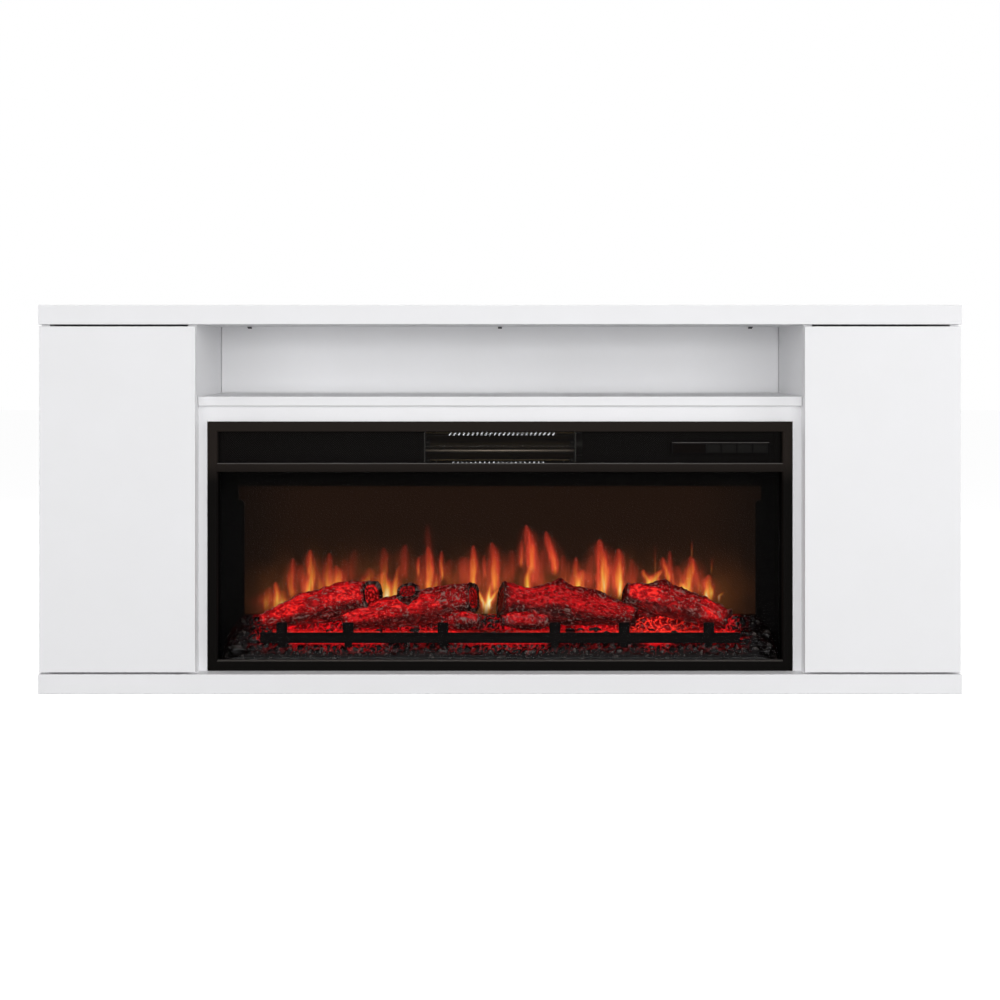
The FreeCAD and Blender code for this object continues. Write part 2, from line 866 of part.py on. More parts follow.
def mesh_sheet():
    # Staggered diamond holes in a flat sheet.
    half = mm("window_half") + mm("mesh_lap")
    low = mm("mesh_bottom") - mm("mesh_lap")
    high = mm("mesh_top") + mm("mesh_lap")
    columns = int(mm("mesh_columns"))
    rows = int(mm("mesh_rows"))
    pitch_x = 2 * mm("window_half") / columns
    pitch_z = mm("mesh_height") / rows
    hole_x = pitch_x / 2 - mm("mesh_web") / 2
    hole_z = pitch_z / 2 - mm("mesh_web") / 2
    rim = [(-half, low), (half, low), (half, high), (-half, high)]
    wires = [Part.makePolygon([Vector(x, 0, z) for x, z in rim + rim[:1]])]
    for column in range(columns):
        for row in range(rows):
            x = -mm("window_half") + (column + 0.5) * pitch_x
            z = mm("mesh_bottom") + (row + 0.5) * pitch_z
            hole = [(x - hole_x, z), (x, z - hole_z), (x + hole_x, z), (x, z + hole_z)]
            wires.append(Part.makePolygon([Vector(a, 0, b) for a, b in hole + hole[:1]]))
    face = Part.Face(wires, "Part::FaceMakerBullseye")
    return face.extrude(Vector(0, mm("mesh_sheet"), 0))


mesh = doc.addObject("Part::Feature", "mesh_panel")
mesh.Shape = mesh_sheet()
mesh.Placement = Placement(Vector(0, mm("frame_rear"), 0), Rotation())
keep(mesh, "mesh_panel")

glass = board(
    "glass_panel",
    ("-window_half - glass_lap", "window_half + glass_lap"),
    ("frame_rear", "glass_rear"),
    ("glass_bottom - glass_lap", "glass_top + glass_lap"),
)
keep(glass, "glass_panel")

# Sheet-metal casing, open to the front, with a row of vents in its back
shell = plate_facing_front(
    "firebox_shell",
    [rectangle(("-shell_half", "shell_half"), ("slab_thickness", "shell_top"))],
    ("frame_rear", "shell_rear"),
)
inside = rectangle(("-shell_inner", "shell_inner"), ("shell_floor", "shell_ceiling"))
pocket(shell, polygons(shell, "XZ_Plane", [inside], "shell_depth"), "shell_depth - shell_sheet")
vents = []
for number in range(int(mm("vent_count"))):
    middle = f"({number} - (vent_count - 1) / 2) * vent_pitch"
    across = (f"{middle} - vent_length / 2", f"{middle} + vent_length / 2")
    vents.append(rectangle(across, ("vent_top - vent_height", "vent_top")))
pocket(shell, polygons(shell, "XZ_Plane", vents), "shell_sheet", reverse=True)
keep(shell, "firebox_shell")

# Deck under the heater, with a valance that hides the top of the flame screen
deck = profile_along_x(
    "heater_deck",
    [
        ("glass_rear + bed_gap", "deck_top"),
        ("glass_rear + bed_gap", "deck_level"),
        ("valance_front", "deck_level"),
        ("valance_front", "deck_level - valance_height"),
        ("valance_rear", "deck_level - valance_height"),
        ("valance_rear", "deck_level"),
        ("deck_rear", "deck_level"),
        ("deck_rear", "deck_top"),
    ],
    ("-shell_inner", "shell_inner"),
)
keep(deck, "heater_deck")

# Flame screen and the stepped black flanges that hold its two sides
screen = board(
    "flame_screen",
    ("-screen_half", "screen_half"),
    ("screen_front", "screen_rear"),
    ("shell_floor", "deck_level"),
)
keep(screen, "flame_screen")
flange = plate_facing_front(
    "left_flange",
    [
        [
            ("-shell_inner", "shell_floor"),
            ("-flange_reach", "shell_floor"),
            ("-flange_reach", "flange_top"),
            ("-flange_upper", "flange_top"),
            ("-flange_upper", "deck_level"),
            ("-shell_inner", "deck_level"),
        ]
    ],
    ("flange_front", "screen_front"),
)
step_x = -mm("flange_reach")
step_z = mm("flange_top")
round_edges(
    flange,
    "flange_round",
    lambda box: abs(box.XMin - step_x) < 0.01 and abs(box.ZMin - step_z) < 0.01 and box.XLength < 0.01,
)
keep(group("screen_flanges", [flange, mirrored("right_flange", flange)]), "screen_flanges")

# Ember bed: a moulded sheet that climbs from the glass to a shelf, and to a mound behind the logs
bed = profile_along_x(
    "ember_bed",
    [
        ("bed_front", "shell_floor"),
        ("bed_front", "bed_edge"),
        ("bed_crest", "bed_shelf"),
        ("mound_foot", "bed_shelf"),
        ("mound_brow", "mound_top"),
        ("flange_front", "mound_top"),
        ("flange_front", "mound_top - bed_sheet"),
        ("mound_brow + bed_sheet / 2", "mound_top - bed_sheet"),
        ("mound_foot + bed_sheet / 2", "bed_shelf - bed_sheet"),
        ("bed_crest + bed_sheet / 2", "bed_shelf - bed_sheet"),
        ("bed_front + bed_sheet", "bed_edge - bed_sheet / 2"),
        ("bed_front + bed_sheet", "shell_floor"),
    ],
    ("-bed_half", "bed_half"),
)
keep(bed, "ember_bed")


def faceted(rings):
    # A solid of flat triangles between uneven rings, closed by the first and the last ring.
    faces = [Part.Face(Part.makePolygon(ring + ring[:1])) for ring in (rings[0], rings[-1])]
    for near, far in zip(rings, rings[1:]):
        for i in range(len(near)):
            j = (i + 1) % len(near)
            for corners in ([near[i], near[j], far[j]], [near[i], far[j], far[i]]):
                faces.append(Part.Face(Part.makePolygon(corners + corners[:1])))
    shell = Part.makeShell(faces)
    shell.sewShape()
    solid = Part.makeSolid(shell)
    if solid.Volume < 0:
        solid.reverse()
    return solid


def lump(x, y, z, size, height, seed):
    # A rough coal: a flat foot, a wider waist and a small uneven crown.
    rings = []
    for spread, lift in ((0.9, 0.0), (1.0, 0.45), (0.55, 1.0)):
        ring = []
        for corner in range(7):
            angle = 2 * math.pi * corner / 7 + seed
            reach = size * spread * (1 + 0.22 * math.sin(3.1 * corner + 5 * seed))
            across = reach * math.cos(angle)
            deep = 0.6 * reach * math.sin(angle)
            ring.append(Vector(x + across, y + deep, z + lift * height))
        rings.append(ring)
    return faceted(rings)


def coal_heap(kept_clear):
    # Coals along the shelf before the logs, apart from the spots where the short logs lie.
    shelf_level = mm("bed_shelf")
    heap = []
    count = int(mm("coal_count"))
    step = 2 * (mm("bed_half") - 2 * mm("coal_size")) / (count - 1)
    for number in range(count):
        x = -mm("bed_half") + 2 * mm("coal_size") + number * step
        if min(abs(x - spot) for spot in kept_clear) < mm("prop_length") / 2 + mm("prop_room"):
            continue
        y = mm("bed_crest") + mm("coal_size") * (0.9 + 0.12 * math.sin(2.3 * number))
        size = mm("coal_size") * (1 + 0.15 * math.sin(1.7 * number))
        height = mm("coal_height") * (1 + 0.3 * math.sin(2.9 * number))
        heap.append(lump(x, y, shelf_level, size, height, 0.7 * number))
    return heap


def log_end(name, end):
    return Vector(
        mm(f"{name}_{end}_share") * mm("bed_half"),
        mm("log_line"),
        mm("bed_shelf") + mm(f"{name}_{end}_rise"),
    )


def rough_log(left, right, radii, bow, swell, seed):
    # Uneven rings along a bowed line, swollen towards the middle and flatter in depth.
    along = (right - left).normalize()
    up = along.cross(Vector(0, 1, 0)).normalize()
    depth = up.cross(along)
    left_radius, right_radius = radii
    rings = []
    for station in (0.0, 0.2, 0.42, 0.63, 0.82, 1.0):
        middle_share = math.sin(math.pi * station)
        radius = left_radius * (1 - station) + right_radius * station + swell * middle_share
        middle = left + (right - left) * station + up * (bow * middle_share)
        ring = []
        for corner in range(9):
            angle = 2 * math.pi * corner / 9
            knots = mm("log_knot_share") * math.sin(2 * angle + seed + 4 * station)
            bark = mm("log_bark_share") * math.sin(4 * angle - 7 * station)
            reach = radius * (1 + knots + bark)
            inward = mm("log_flat_share") * reach * math.cos(angle)
            ring.append(middle + up * (reach * math.sin(angle)) + depth * inward)
        rings.append(ring)
    return faceted(rings)


def above_bed(shape):
    # Only what stands above the bed's shelf and mound, so that each log lies in its seat.
    reach = mm("overall_width")
    outline = [
        (-reach, mm("bed_shelf")),
        (mm("mound_foot"), mm("bed_shelf")),
        (mm("mound_brow"), mm("mound_top")),
        (reach, mm("mound_top")),
        (reach, reach),
        (-reach, reach),
    ]
    corners = [Vector(-reach, y, z) for y, z in outline]
    room = Part.Face(Part.makePolygon(corners + corners[:1])).extrude(Vector(2 * reach, 0, 0))
    return shape.common(room)


blanks = {
    name: rough_log(
        log_end(name, "left"),
        log_end(name, "right"),
        (mm(f"{name}_left_radius"), mm(f"{name}_right_radius")),
        mm(f"{name}_bow"),
        mm(f"{name}_swell"),
        int(name[-1]),
    )
    for name in logs
}
stub_share = mm("stub_share")
stub_root = log_end("log_2", "left") * (1 - stub_share) + log_end("log_2", "right") * stub_share
stub_root.z = mm("bed_shelf") + mm("stub_rise")
stub_tip = stub_root + Vector(-mm("stub_lean"), -mm("stub_reach"), mm("stub_lift"))
stub = rough_log(stub_root, stub_tip, (mm("stub_radius"), mm("stub_radius")), 0, 0, 2)
blanks["log_2"] = blanks["log_2"].fuse(stub)
prop_spots = [
    log_end("log_2", "right").x - mm("prop_length") / 3,
    log_end("log_3", "left").x + mm("prop_length") * 0.6,
]
props = []
for spot in prop_spots:
    middle = Vector(spot, mm("log_line") - mm("prop_setback"), mm("bed_shelf") + mm("prop_radius"))
    half = Vector(mm("prop_length") / 2, 0, 0)
    radii = (mm("prop_radius") - mm("prop_swell"), mm("prop_radius") - mm("prop_swell"))
    props.append(rough_log(middle - half, middle + half, radii, 0, mm("prop_swell"), 5))
props = [above_bed(prop).Solids[0] for prop in props]
trimmed = {
    "log_2": above_bed(blanks["log_2"].cut(props[0])),
    "log_3": above_bed(blanks["log_3"].cut(props[1])),
}
trimmed["log_1"] = above_bed(blanks["log_1"].cut(trimmed["log_2"]))
trimmed["log_4"] = above_bed(blanks["log_4"].cut(trimmed["log_3"]))
coals = doc.addObject("Part::Feature", "ember_coals")
coals.Shape = Part.makeCompound(coal_heap(prop_spots) + props)
keep(coals, "ember_coals")
for name in logs:
    solid = max(trimmed[name].Solids, key=lambda piece: piece.Volume)
    log = doc.addObject("Part::Feature", name)
    log.Shape = solid
    keep(log, name)

# Grate: a bar with upright prongs, on short legs that stand on the ember bed
grate = plate_facing_front(
    "grate_bars",
    [rectangle(("-grate_half", "grate_half"), ("grate_bottom", "grate_top"))],
    ("grate_front", "grate_rear"),
)
prong_loops = []
leg_loops = []
for number in range(1, len(prongs) + 1):
    reach = f"prong_share_{number}_of_half * grate_half"
    prong_x = (f"{reach} - prong_width / 2", f"{reach} + prong_width / 2")
    leg_x = (f"{reach} - leg_width / 2", f"{reach} + leg_width / 2")
    prong_loops.append(rectangle(prong_x, ("grate_bottom", "prong_top")))
    leg_loops.append(rectangle(leg_x, ("leg_bottom", "grate_top")))
pad(grate, polygons(grate, "XZ_Plane", prong_loops), "grate_bar")
pad(grate, polygons(grate, "XZ_Plane", leg_loops), "leg_depth")
prong_tip = mm("prong_top")
bevel_edges(grate, "prong_bevel", lambda box: box.ZMin > prong_tip - 0.01 and box.XLength < 0.01)
keep(cut("grate", grate, bed), "grate")

# Lamp strips on the casing floor, one under the embers and one behind the screen
strips = []
for line in ("log_line", "deck_rear - 2 * strip_width"):
    strips.append(
        board(
            "lamp_strip",
            ("-strip_half", "strip_half"),
            (line, f"{line} + strip_width"),
            ("shell_floor", "shell_floor + strip_height"),
        )
    )
keep(group("led_strips", strips), "led_strips")

# Flame rotor: a long shaft with bright flags, turned by a slow motor
flags = [
    rod(
        "rotor_shaft",
        "x",
        "rotor_shaft_radius",
        "2 * rotor_reach + bearing_sheet + motor_length / 2",
        "-rotor_reach - bearing_sheet",
        "rotor_line",
        "rotor_height",
    )
]
for number in range(int(mm("flag_count"))):
    flag = doc.addObject("Part::Box", "rotor_flag")
    flag.setExpression("Length", sized("flag_length"))
    flag.setExpression("Width", sized("flag_reach"))
    flag.setExpression("Height", sized("flag_sheet"))
    flag.Placement = Placement(Vector(), Rotation(Vector(1, 0, 0), 75 * number))
    station = f"2 * rotor_reach * ({number} + 0.5) / flag_count"
    place(flag, f"{station} - rotor_reach - flag_length / 2", "rotor_line", "rotor_height")
    flags.append(flag)
keep(fuse("flame_rotor", flags), "flame_rotor")

bearing_post = block(
    "bearing_post",
    ("-rotor_reach - bearing_sheet", "-rotor_reach"),
    ("rotor_line - bearing_half", "rotor_line + bearing_half"),
    ("shell_floor", "rotor_height + bearing_half"),
)
rotor_bore = rod(
    "rotor_bore",
    "x",
    "rotor_shaft_radius + rotor_clearance",
    "2 * rotor_reach + bearing_sheet + motor_length",
    "-rotor_reach - bearing_sheet",
    "rotor_line",
    "rotor_height",
)
keep(cut("rotor_bearing", bearing_post, rotor_bore), "rotor_bearing")
motor_can = rod(
    "motor_can",
    "x",
    "motor_radius",
    "motor_length",
    "rotor_reach + motor_gap",
    "rotor_line",
    "rotor_height",
)
motor_foot = block(
    "motor_foot",
    ("rotor_reach + motor_gap", "rotor_reach + motor_gap + motor_length"),
    ("rotor_line - motor_foot / 2", "rotor_line + motor_foot / 2"),
    ("shell_floor", "rotor_height"),
)
keep(cut("rotor_motor", fuse("motor_blank", [motor_can, motor_foot]), rotor_bore), "rotor_motor")

# Heater: a bright trough, a quartz tube and the end plates that carry both
reflector = new_body("heater_reflector")
ring = circles(
    reflector,
    "YZ_Plane",
    [
        ("heater_line", "heater_height", "reflector_radius"),
        ("heater_line", "heater_height", "reflector_radius - reflector_sheet"),
    ],
)
pad(reflector, ring, "2 * heater_half")
mouth = rectangle(
    ("heater_line - 2 * reflector_radius", "heater_line"),
    ("heater_height - 2 * reflector_radius", "heater_height + 2 * reflector_radius"),
)
pocket(reflector, polygons(reflector, "YZ_Plane", [mouth]), "2 * heater_half", reverse=True)
place(reflector, "-heater_half", "0", "0")
keep(reflector, "heater_reflector")

tube = new_body("quartz_tube")
tube_rings = [
    ("heater_line", "heater_height", "tube_radius"),
    ("heater_line", "heater_height", "tube_radius - tube_wall"),
]
pad(tube, circles(tube, "YZ_Plane", tube_rings), "2 * (heater_half - cap_length)")
place(tube, "-heater_half + cap_length", "0", "0")
keep(tube, "quartz_tube")

holder_plate = block(
    "holder_plate",
    ("-heater_half - holder_sheet", "-heater_half"),
    ("heater_line - holder_depth / 2", "heater_line + holder_depth / 2"),
    ("deck_top", "deck_top + holder_height"),
)
holder_cap = rod(
    "holder_cap",
    "x",
    "cap_radius",
    "cap_length",
    "-heater_half",
    "heater_line",
    "heater_height",
)
holder = fuse("tube_holder", [holder_plate, holder_cap])
keep(group("tube_holders", [holder, mirrored("right_tube_holder", holder)]), "tube_holders")

# Blower: a bladed wheel on its shaft, a scroll that carries it and the motor at its end
wheel = new_body("blower_wheel")
disc = circles(wheel, "YZ_Plane", [("0", "0", "blower_radius")])
pad(wheel, disc, "blower_sheet")
blade_loop = [
    ("blower_radius - blade_depth", "-blade_sheet"),
    ("blower_radius - blade_sheet", "blade_depth / 2 - blade_sheet"),
    ("blower_radius - blade_sheet", "blade_depth / 2"),
    ("blower_radius - blade_depth", "0"),
]
blade = pad(wheel, polygons(wheel, "YZ_Plane", [blade_loop]), "2 * blower_half")
doc.recompute()
blades = wheel.newObject("PartDesign::PolarPattern", "blades")
blades.Originals = [blade]
blades.Axis = (next(f for f in wheel.Origin.OriginFeatures if f.Role == "X_Axis"), [""])
blades.Angle = 360
blades.setExpression("Occurrences", sized("blade_count"))
wheel.Tip = blades
far_disc = circles(wheel, "YZ_Plane", [("0", "0", "blower_radius")], "2 * blower_half - blower_sheet")
pad(wheel, far_disc, "blower_sheet")
spindle = circles(wheel, "YZ_Plane", [("0", "0", "blower_shaft_radius")], "-scroll_side_gap - blower_sheet")
pad(wheel, spindle, "2 * scroll_half + 2 * blower_sheet + blower_motor_length / 2")
place(wheel, "-blower_half", "blower_line", "heater_height")
keep(wheel, "blower_wheel")

scroll_span = ("-scroll_half", "scroll_half")
scroll_axis = ("-scroll_half", "blower_line", "heater_height")
scroll_skin = cut(
    "scroll_skin",
    rod("scroll_outer", "x", "scroll_radius + blower_sheet", "2 * scroll_half", *scroll_axis),
    rod("scroll_inner", "x", "scroll_radius", "2 * scroll_half", *scroll_axis),
)
scroll_mouth = block(
    "scroll_mouth",
    scroll_span,
    ("blower_line - 2 * scroll_radius", "blower_line"),
    ("heater_height - 2 * scroll_radius", "heater_height + 2 * scroll_radius"),
)
scroll_pieces = [cut("scroll_back", scroll_skin, scroll_mouth)]
for start in ("-scroll_half - blower_sheet", "scroll_half"):
    scroll_pieces.append(
        block(
            "scroll_end",
            (start, f"{start} + blower_sheet"),
            ("blower_line - scroll_radius", "blower_line + scroll_radius + blower_sheet"),
            ("deck_top", "heater_height + scroll_radius + blower_sheet"),
        )
    )
spindle_bore = rod(
    "spindle_bore",
    "x",
    "blower_shaft_radius + blower_clearance",
    "2 * scroll_half + 2 * blower_sheet + blower_motor_length",
    "-scroll_half - blower_sheet",
    "blower_line",
    "heater_height",
)
keep(cut("blower_housing", fuse("scroll_blank", scroll_pieces), spindle_bore), "blower_housing")
blower_can = rod(
    "blower_can",
    "x",
    "blower_motor_radius",
    "blower_motor_length",
    "scroll_half + blower_sheet",
    "blower_line",
    "heater_height",
)
keep(cut("blower_motor", blower_can, spindle_bore), "blower_motor")

# Control strip on the mesh: a hollow bezel, its window, four keys and the board behind them
bezel = plate_facing_front(
    "control_bezel",
    [rectangle(("bezel_left", "bezel_left + bezel_width"), ("bezel_bottom", "bezel_bottom + bezel_height"))],
    ("bezel_front", "frame_rear"),
)
cavity = rectangle(
    ("bezel_left + bezel_wall", "bezel_left + bezel_width - bezel_wall"),
    ("bezel_bottom + bezel_wall", "bezel_bottom + bezel_height - bezel_wall"),
)
pocket(bezel, polygons(bezel, "XZ_Plane", [cavity]), "bezel_depth - bezel_wall", reverse=True)
key_spans = []
for number in range(4):
    middle = f"bezel_left + key_first + {number} * key_pitch"
    key_spans.append((f"{middle} - key_width / 2", f"{middle} + key_width / 2"))
key_rise = ("key_middle - key_height / 2", "key_middle + key_height / 2")
window_x = ("bezel_left + window_inset", "bezel_left + window_inset + window_width")
window_z = ("key_middle - window_height / 2", "key_middle + window_height / 2")
hole_z = (f"{key_rise[0]} - key_gap", f"{key_rise[1]} + key_gap")
holes = [rectangle((f"{x[0]} - key_gap", f"{x[1]} + key_gap"), hole_z) for x in key_spans]
holes.append(rectangle(window_x, window_z))
pocket(bezel, polygons(bezel, "XZ_Plane", holes, "bezel_depth"), "bezel_wall")
bezel_face = -mm("bezel_depth") + 0.01
rim_edge = mm("bezel_width") - 1
round_edges(bezel, "bezel_round", lambda box: box.YMax < bezel_face and box.XLength > rim_edge)
keep(bezel, "control_bezel")
window = board("display_window", window_x, ("bezel_front", "bezel_front + bezel_wall"), window_z)
keep(window, "display_window")

for number, span in enumerate(key_spans, 1):
    name = f"button_{number}"
    key = plate_facing_front(name, [rectangle(span, key_rise)], ("key_front", "key_rim_rear"))
    rim_x = (f"{span[0]} - key_rim", f"{span[1]} + key_rim")
    rim_z = (f"{key_rise[0]} - key_rim / 2", f"{key_rise[1]} + key_rim / 2")
    pad(key, polygons(key, "XZ_Plane", [rectangle(rim_x, rim_z)]), "key_rim")
    middle = f"bezel_left + key_first + {number - 1} * key_pitch"
    stem_reach = "key_stem_rear - key_rim_rear"
    stem = rectangle(
        (f"{middle} - key_stem / 2", f"{middle} + key_stem / 2"),
        ("key_middle - key_stem / 2", "key_middle + key_stem / 2"),
    )
    pad(key, polygons(key, "XZ_Plane", [stem], f"-({stem_reach})"), stem_reach)
    key_face = mm("key_front") - mm("key_rim_rear") + 0.01
    round_edges(key, "key_round", lambda box: box.YMax < key_face)
    keep(key, name)

board_x = ("bezel_left + bezel_wall + board_gap", "bezel_left + bezel_width - bezel_wall - board_gap")
board_z = ("bezel_bottom + bezel_wall + board_gap", "bezel_bottom + bezel_height - bezel_wall - board_gap")
circuit = [block("circuit_sheet", board_x, ("board_front", "frame_rear"), board_z)]
for number in range(4):
    middle = f"bezel_left + key_first + {number} * key_pitch"
    circuit.append(
        block(
            "key_switch",
            (f"{middle} - switch_side / 2", f"{middle} + switch_side / 2"),
            ("switch_front", "board_front"),
            ("key_middle - switch_side / 2", "key_middle + switch_side / 2"),
        )
    )
keep(fuse("control_board", circuit), "control_board")

# Mains inlet on the back of the casing
inlet_x = ("-inlet_offset - inlet_width / 2", "-inlet_offset + inlet_width / 2")
inlet_z = ("shell_floor + inlet_rise", "shell_floor + inlet_rise + inlet_height")
inlet_block = block("inlet_block", inlet_x, ("shell_rear", "shell_rear + inlet_depth"), inlet_z)
inlet_well = block(
    "inlet_well",
    (f"{inlet_x[0]} + inlet_wall", f"{inlet_x[1]} - inlet_wall"),
    ("shell_rear + inlet_wall", "shell_rear + inlet_depth"),
    (f"{inlet_z[0]} + inlet_wall", f"{inlet_z[1]} - inlet_wall"),
)
inlet = [cut("inlet_socket", inlet_block, inlet_well)]
for offset in ("-inlet_wall", "inlet_wall"):
    inlet.append(
        rod(
            "inlet_pin",
            "y",
            "inlet_pin_radius",
            "inlet_depth - inlet_wall - inlet_pin_radius",
            f"-inlet_offset + {offset}",
            "shell_rear + inlet_wall",
            "shell_floor + inlet_rise + inlet_height / 2",
        )
    )
keep(fuse("power_inlet", inlet), "power_inlet")

doc.recompute()

# Every object has to be up to date and every sub-part a sound solid before anything is written.
for obj in doc.Objects:
    if "Invalid" in obj.State or "Error" in obj.State:
        raise RuntimeError(f"{obj.Label} failed: {obj.State}")
for obj in parts:
    if obj.Shape.isNull() or not obj.Shape.isValid() or not obj.Shape.Solids:
        raise RuntimeError(f"{obj.Label} has no sound shape")
os.makedirs("parts", exist_ok=True)
for obj in parts:
    obj.Shape.exportStep(os.path.join("parts", obj.Label + ".step"))
print(f"{len(parts)} sub-parts written")
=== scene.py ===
import json
import math

import bpy
import numpy as np
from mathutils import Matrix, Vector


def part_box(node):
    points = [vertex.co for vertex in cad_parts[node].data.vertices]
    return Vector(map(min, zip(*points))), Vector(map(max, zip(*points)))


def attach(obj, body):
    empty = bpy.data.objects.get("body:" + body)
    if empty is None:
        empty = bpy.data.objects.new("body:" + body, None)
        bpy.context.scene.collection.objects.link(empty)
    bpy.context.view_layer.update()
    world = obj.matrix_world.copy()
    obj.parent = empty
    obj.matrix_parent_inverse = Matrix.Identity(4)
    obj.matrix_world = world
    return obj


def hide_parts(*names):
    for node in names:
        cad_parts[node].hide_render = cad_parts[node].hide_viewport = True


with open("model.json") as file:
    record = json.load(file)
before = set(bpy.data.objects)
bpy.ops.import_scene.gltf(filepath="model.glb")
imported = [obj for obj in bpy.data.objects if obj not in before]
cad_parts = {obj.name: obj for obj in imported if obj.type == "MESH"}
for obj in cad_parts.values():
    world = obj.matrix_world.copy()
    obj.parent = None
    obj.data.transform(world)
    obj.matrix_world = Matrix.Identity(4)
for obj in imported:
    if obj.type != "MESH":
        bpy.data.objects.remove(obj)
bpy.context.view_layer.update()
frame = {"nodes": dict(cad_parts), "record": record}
nodes = frame["nodes"]
scene = bpy.context.scene
print("frame loaded:", len(nodes), "nodes")


def linear(hexColour):
    # sRGB hex to linear RGBA
    channels = [int(hexColour[i:i + 2], 16) / 255 for i in (1, 3, 5)]
    return [c / 12.92 if c <= 0.04045 else ((c + 0.055) / 1.055) ** 2.4 for c in channels] + [1.0]


def addNode(tree, kind, inputs=None, **settings):
    # adds a shader node; an input is a constant or a (node, output) pair to link
    node = tree.nodes.new("ShaderNode" + kind)
    for name, value in settings.items():
        setattr(node, name, value)
    for name, value in (inputs or {}).items():
        if isinstance(value, tuple) and isinstance(value[0], bpy.types.Node):
            tree.links.new(value[0].outputs[value[1]], node.inputs[name])
        else:
            node.inputs[name].default_value = value
    return node


def newMaterial(name):
    # an empty node material and its tree
    material = bpy.data.materials.new(name)
    material.use_nodes = True
    tree = material.node_tree
    tree.nodes.clear()
    return material, tree


def finishMaterial(tree, shader):
    # the shader becomes the material's surface
    addNode(tree, "OutputMaterial", {"Surface": (shader, 0)})


# white finish of the cabinet
lacquer = {"tone": "#f1f1f3", "toneWarm": "#eeeeef", "mottleMm": 90, "peelMm": 5, "peelHeightMm": 0.02,
           "peelBump": 0.12, "roughness": (0.40, 0.50), "specular": 0.2}


def whiteLacquer():
    # sprayed and baked acrylic lacquer on MDF: even white, soft gloss, a trace of orange peel
    material, tree = newMaterial("white_acrylic_lacquer_on_mdf")
    place = addNode(tree, "TexCoord")
    mottle = addNode(tree, "TexNoise", {
        "Vector": (place, "Object"), "Scale": 1000 / lacquer["mottleMm"], "Detail": 2.0})
    tone = addNode(tree, "MixRGB", {
        "Fac": (mottle, "Fac"), "Color1": linear(lacquer["tone"]), "Color2": linear(lacquer["toneWarm"])})
    peel = addNode(tree, "TexNoise", {
        "Vector": (place, "Object"), "Scale": 1000 / lacquer["peelMm"], "Detail": 1.0})
    bump = addNode(tree, "Bump", {
        "Height": (peel, "Fac"), "Strength": lacquer["peelBump"], "Distance": lacquer["peelHeightMm"] / 1000})
    low, high = lacquer["roughness"]
    rough = addNode(tree, "MapRange", {"Value": (mottle, "Fac"), "To Min": low, "To Max": high})
    shader = addNode(tree, "BsdfPrincipled", {
        "Base Color": (tone, 0), "Roughness": (rough, 0), "Normal": (bump, 0),
        "IOR": 1.49, "Specular IOR Level": lacquer["specular"]})
    finishMaterial(tree, shader)
    return material


def grainedMaterial(look):
    # one base for coated, moulded and metal finishes: speckled colour, uneven roughness and a fine bump,
    # and for a finish that asks for it another tone above a level: painted light falling from above
    material, tree = newMaterial(look["name"])
    place = addNode(tree, "TexCoord")
    stretch = addNode(tree, "Mapping", {"Vector": (place, "Object"), "Scale": look.get("stretch", (1, 1, 1))})
    grain = addNode(tree, "TexNoise", {
        "Vector": (stretch, 0), "Scale": 1000 / look["grainMm"], "Detail": 3.0})
    speckle = addNode(tree, "MixRGB", {
        "Fac": (grain, "Fac"), "Color1": linear(look["dark"]), "Color2": linear(look["light"])})
    low, high = look["roughness"]
    rough = addNode(tree, "MapRange", {"Value": (grain, "Fac"), "To Min": low, "To Max": high})
    bump = addNode(tree, "Bump", {
        "Height": (grain, "Fac"), "Strength": look.get("bump", 0.2), "Distance": look["depthMm"] / 1000})
    colour = speckle
    # painted light: another tone above a level, as if lit from above
    if "paintedLightTopTone" in look:
        height = addNode(tree, "SeparateXYZ", {"Vector": (place, "Object")})
        start, full = look["topMm"]
        share = addNode(tree, "MapRange", {
            "Value": (height, "Z"), "From Min": start / 1000, "From Max": full / 1000})
        colour = addNode(tree, "MixRGB", {
            "Fac": (share, 0), "Color1": (speckle, 0), "Color2": linear(look["paintedLightTopTone"])})
    inputs = {"Base Color": (colour, 0), "Roughness": (rough, 0), "Normal": (bump, 0)}
    finishMaterial(tree, addNode(tree, "BsdfPrincipled", {**inputs, **look["sockets"]}))
    return material


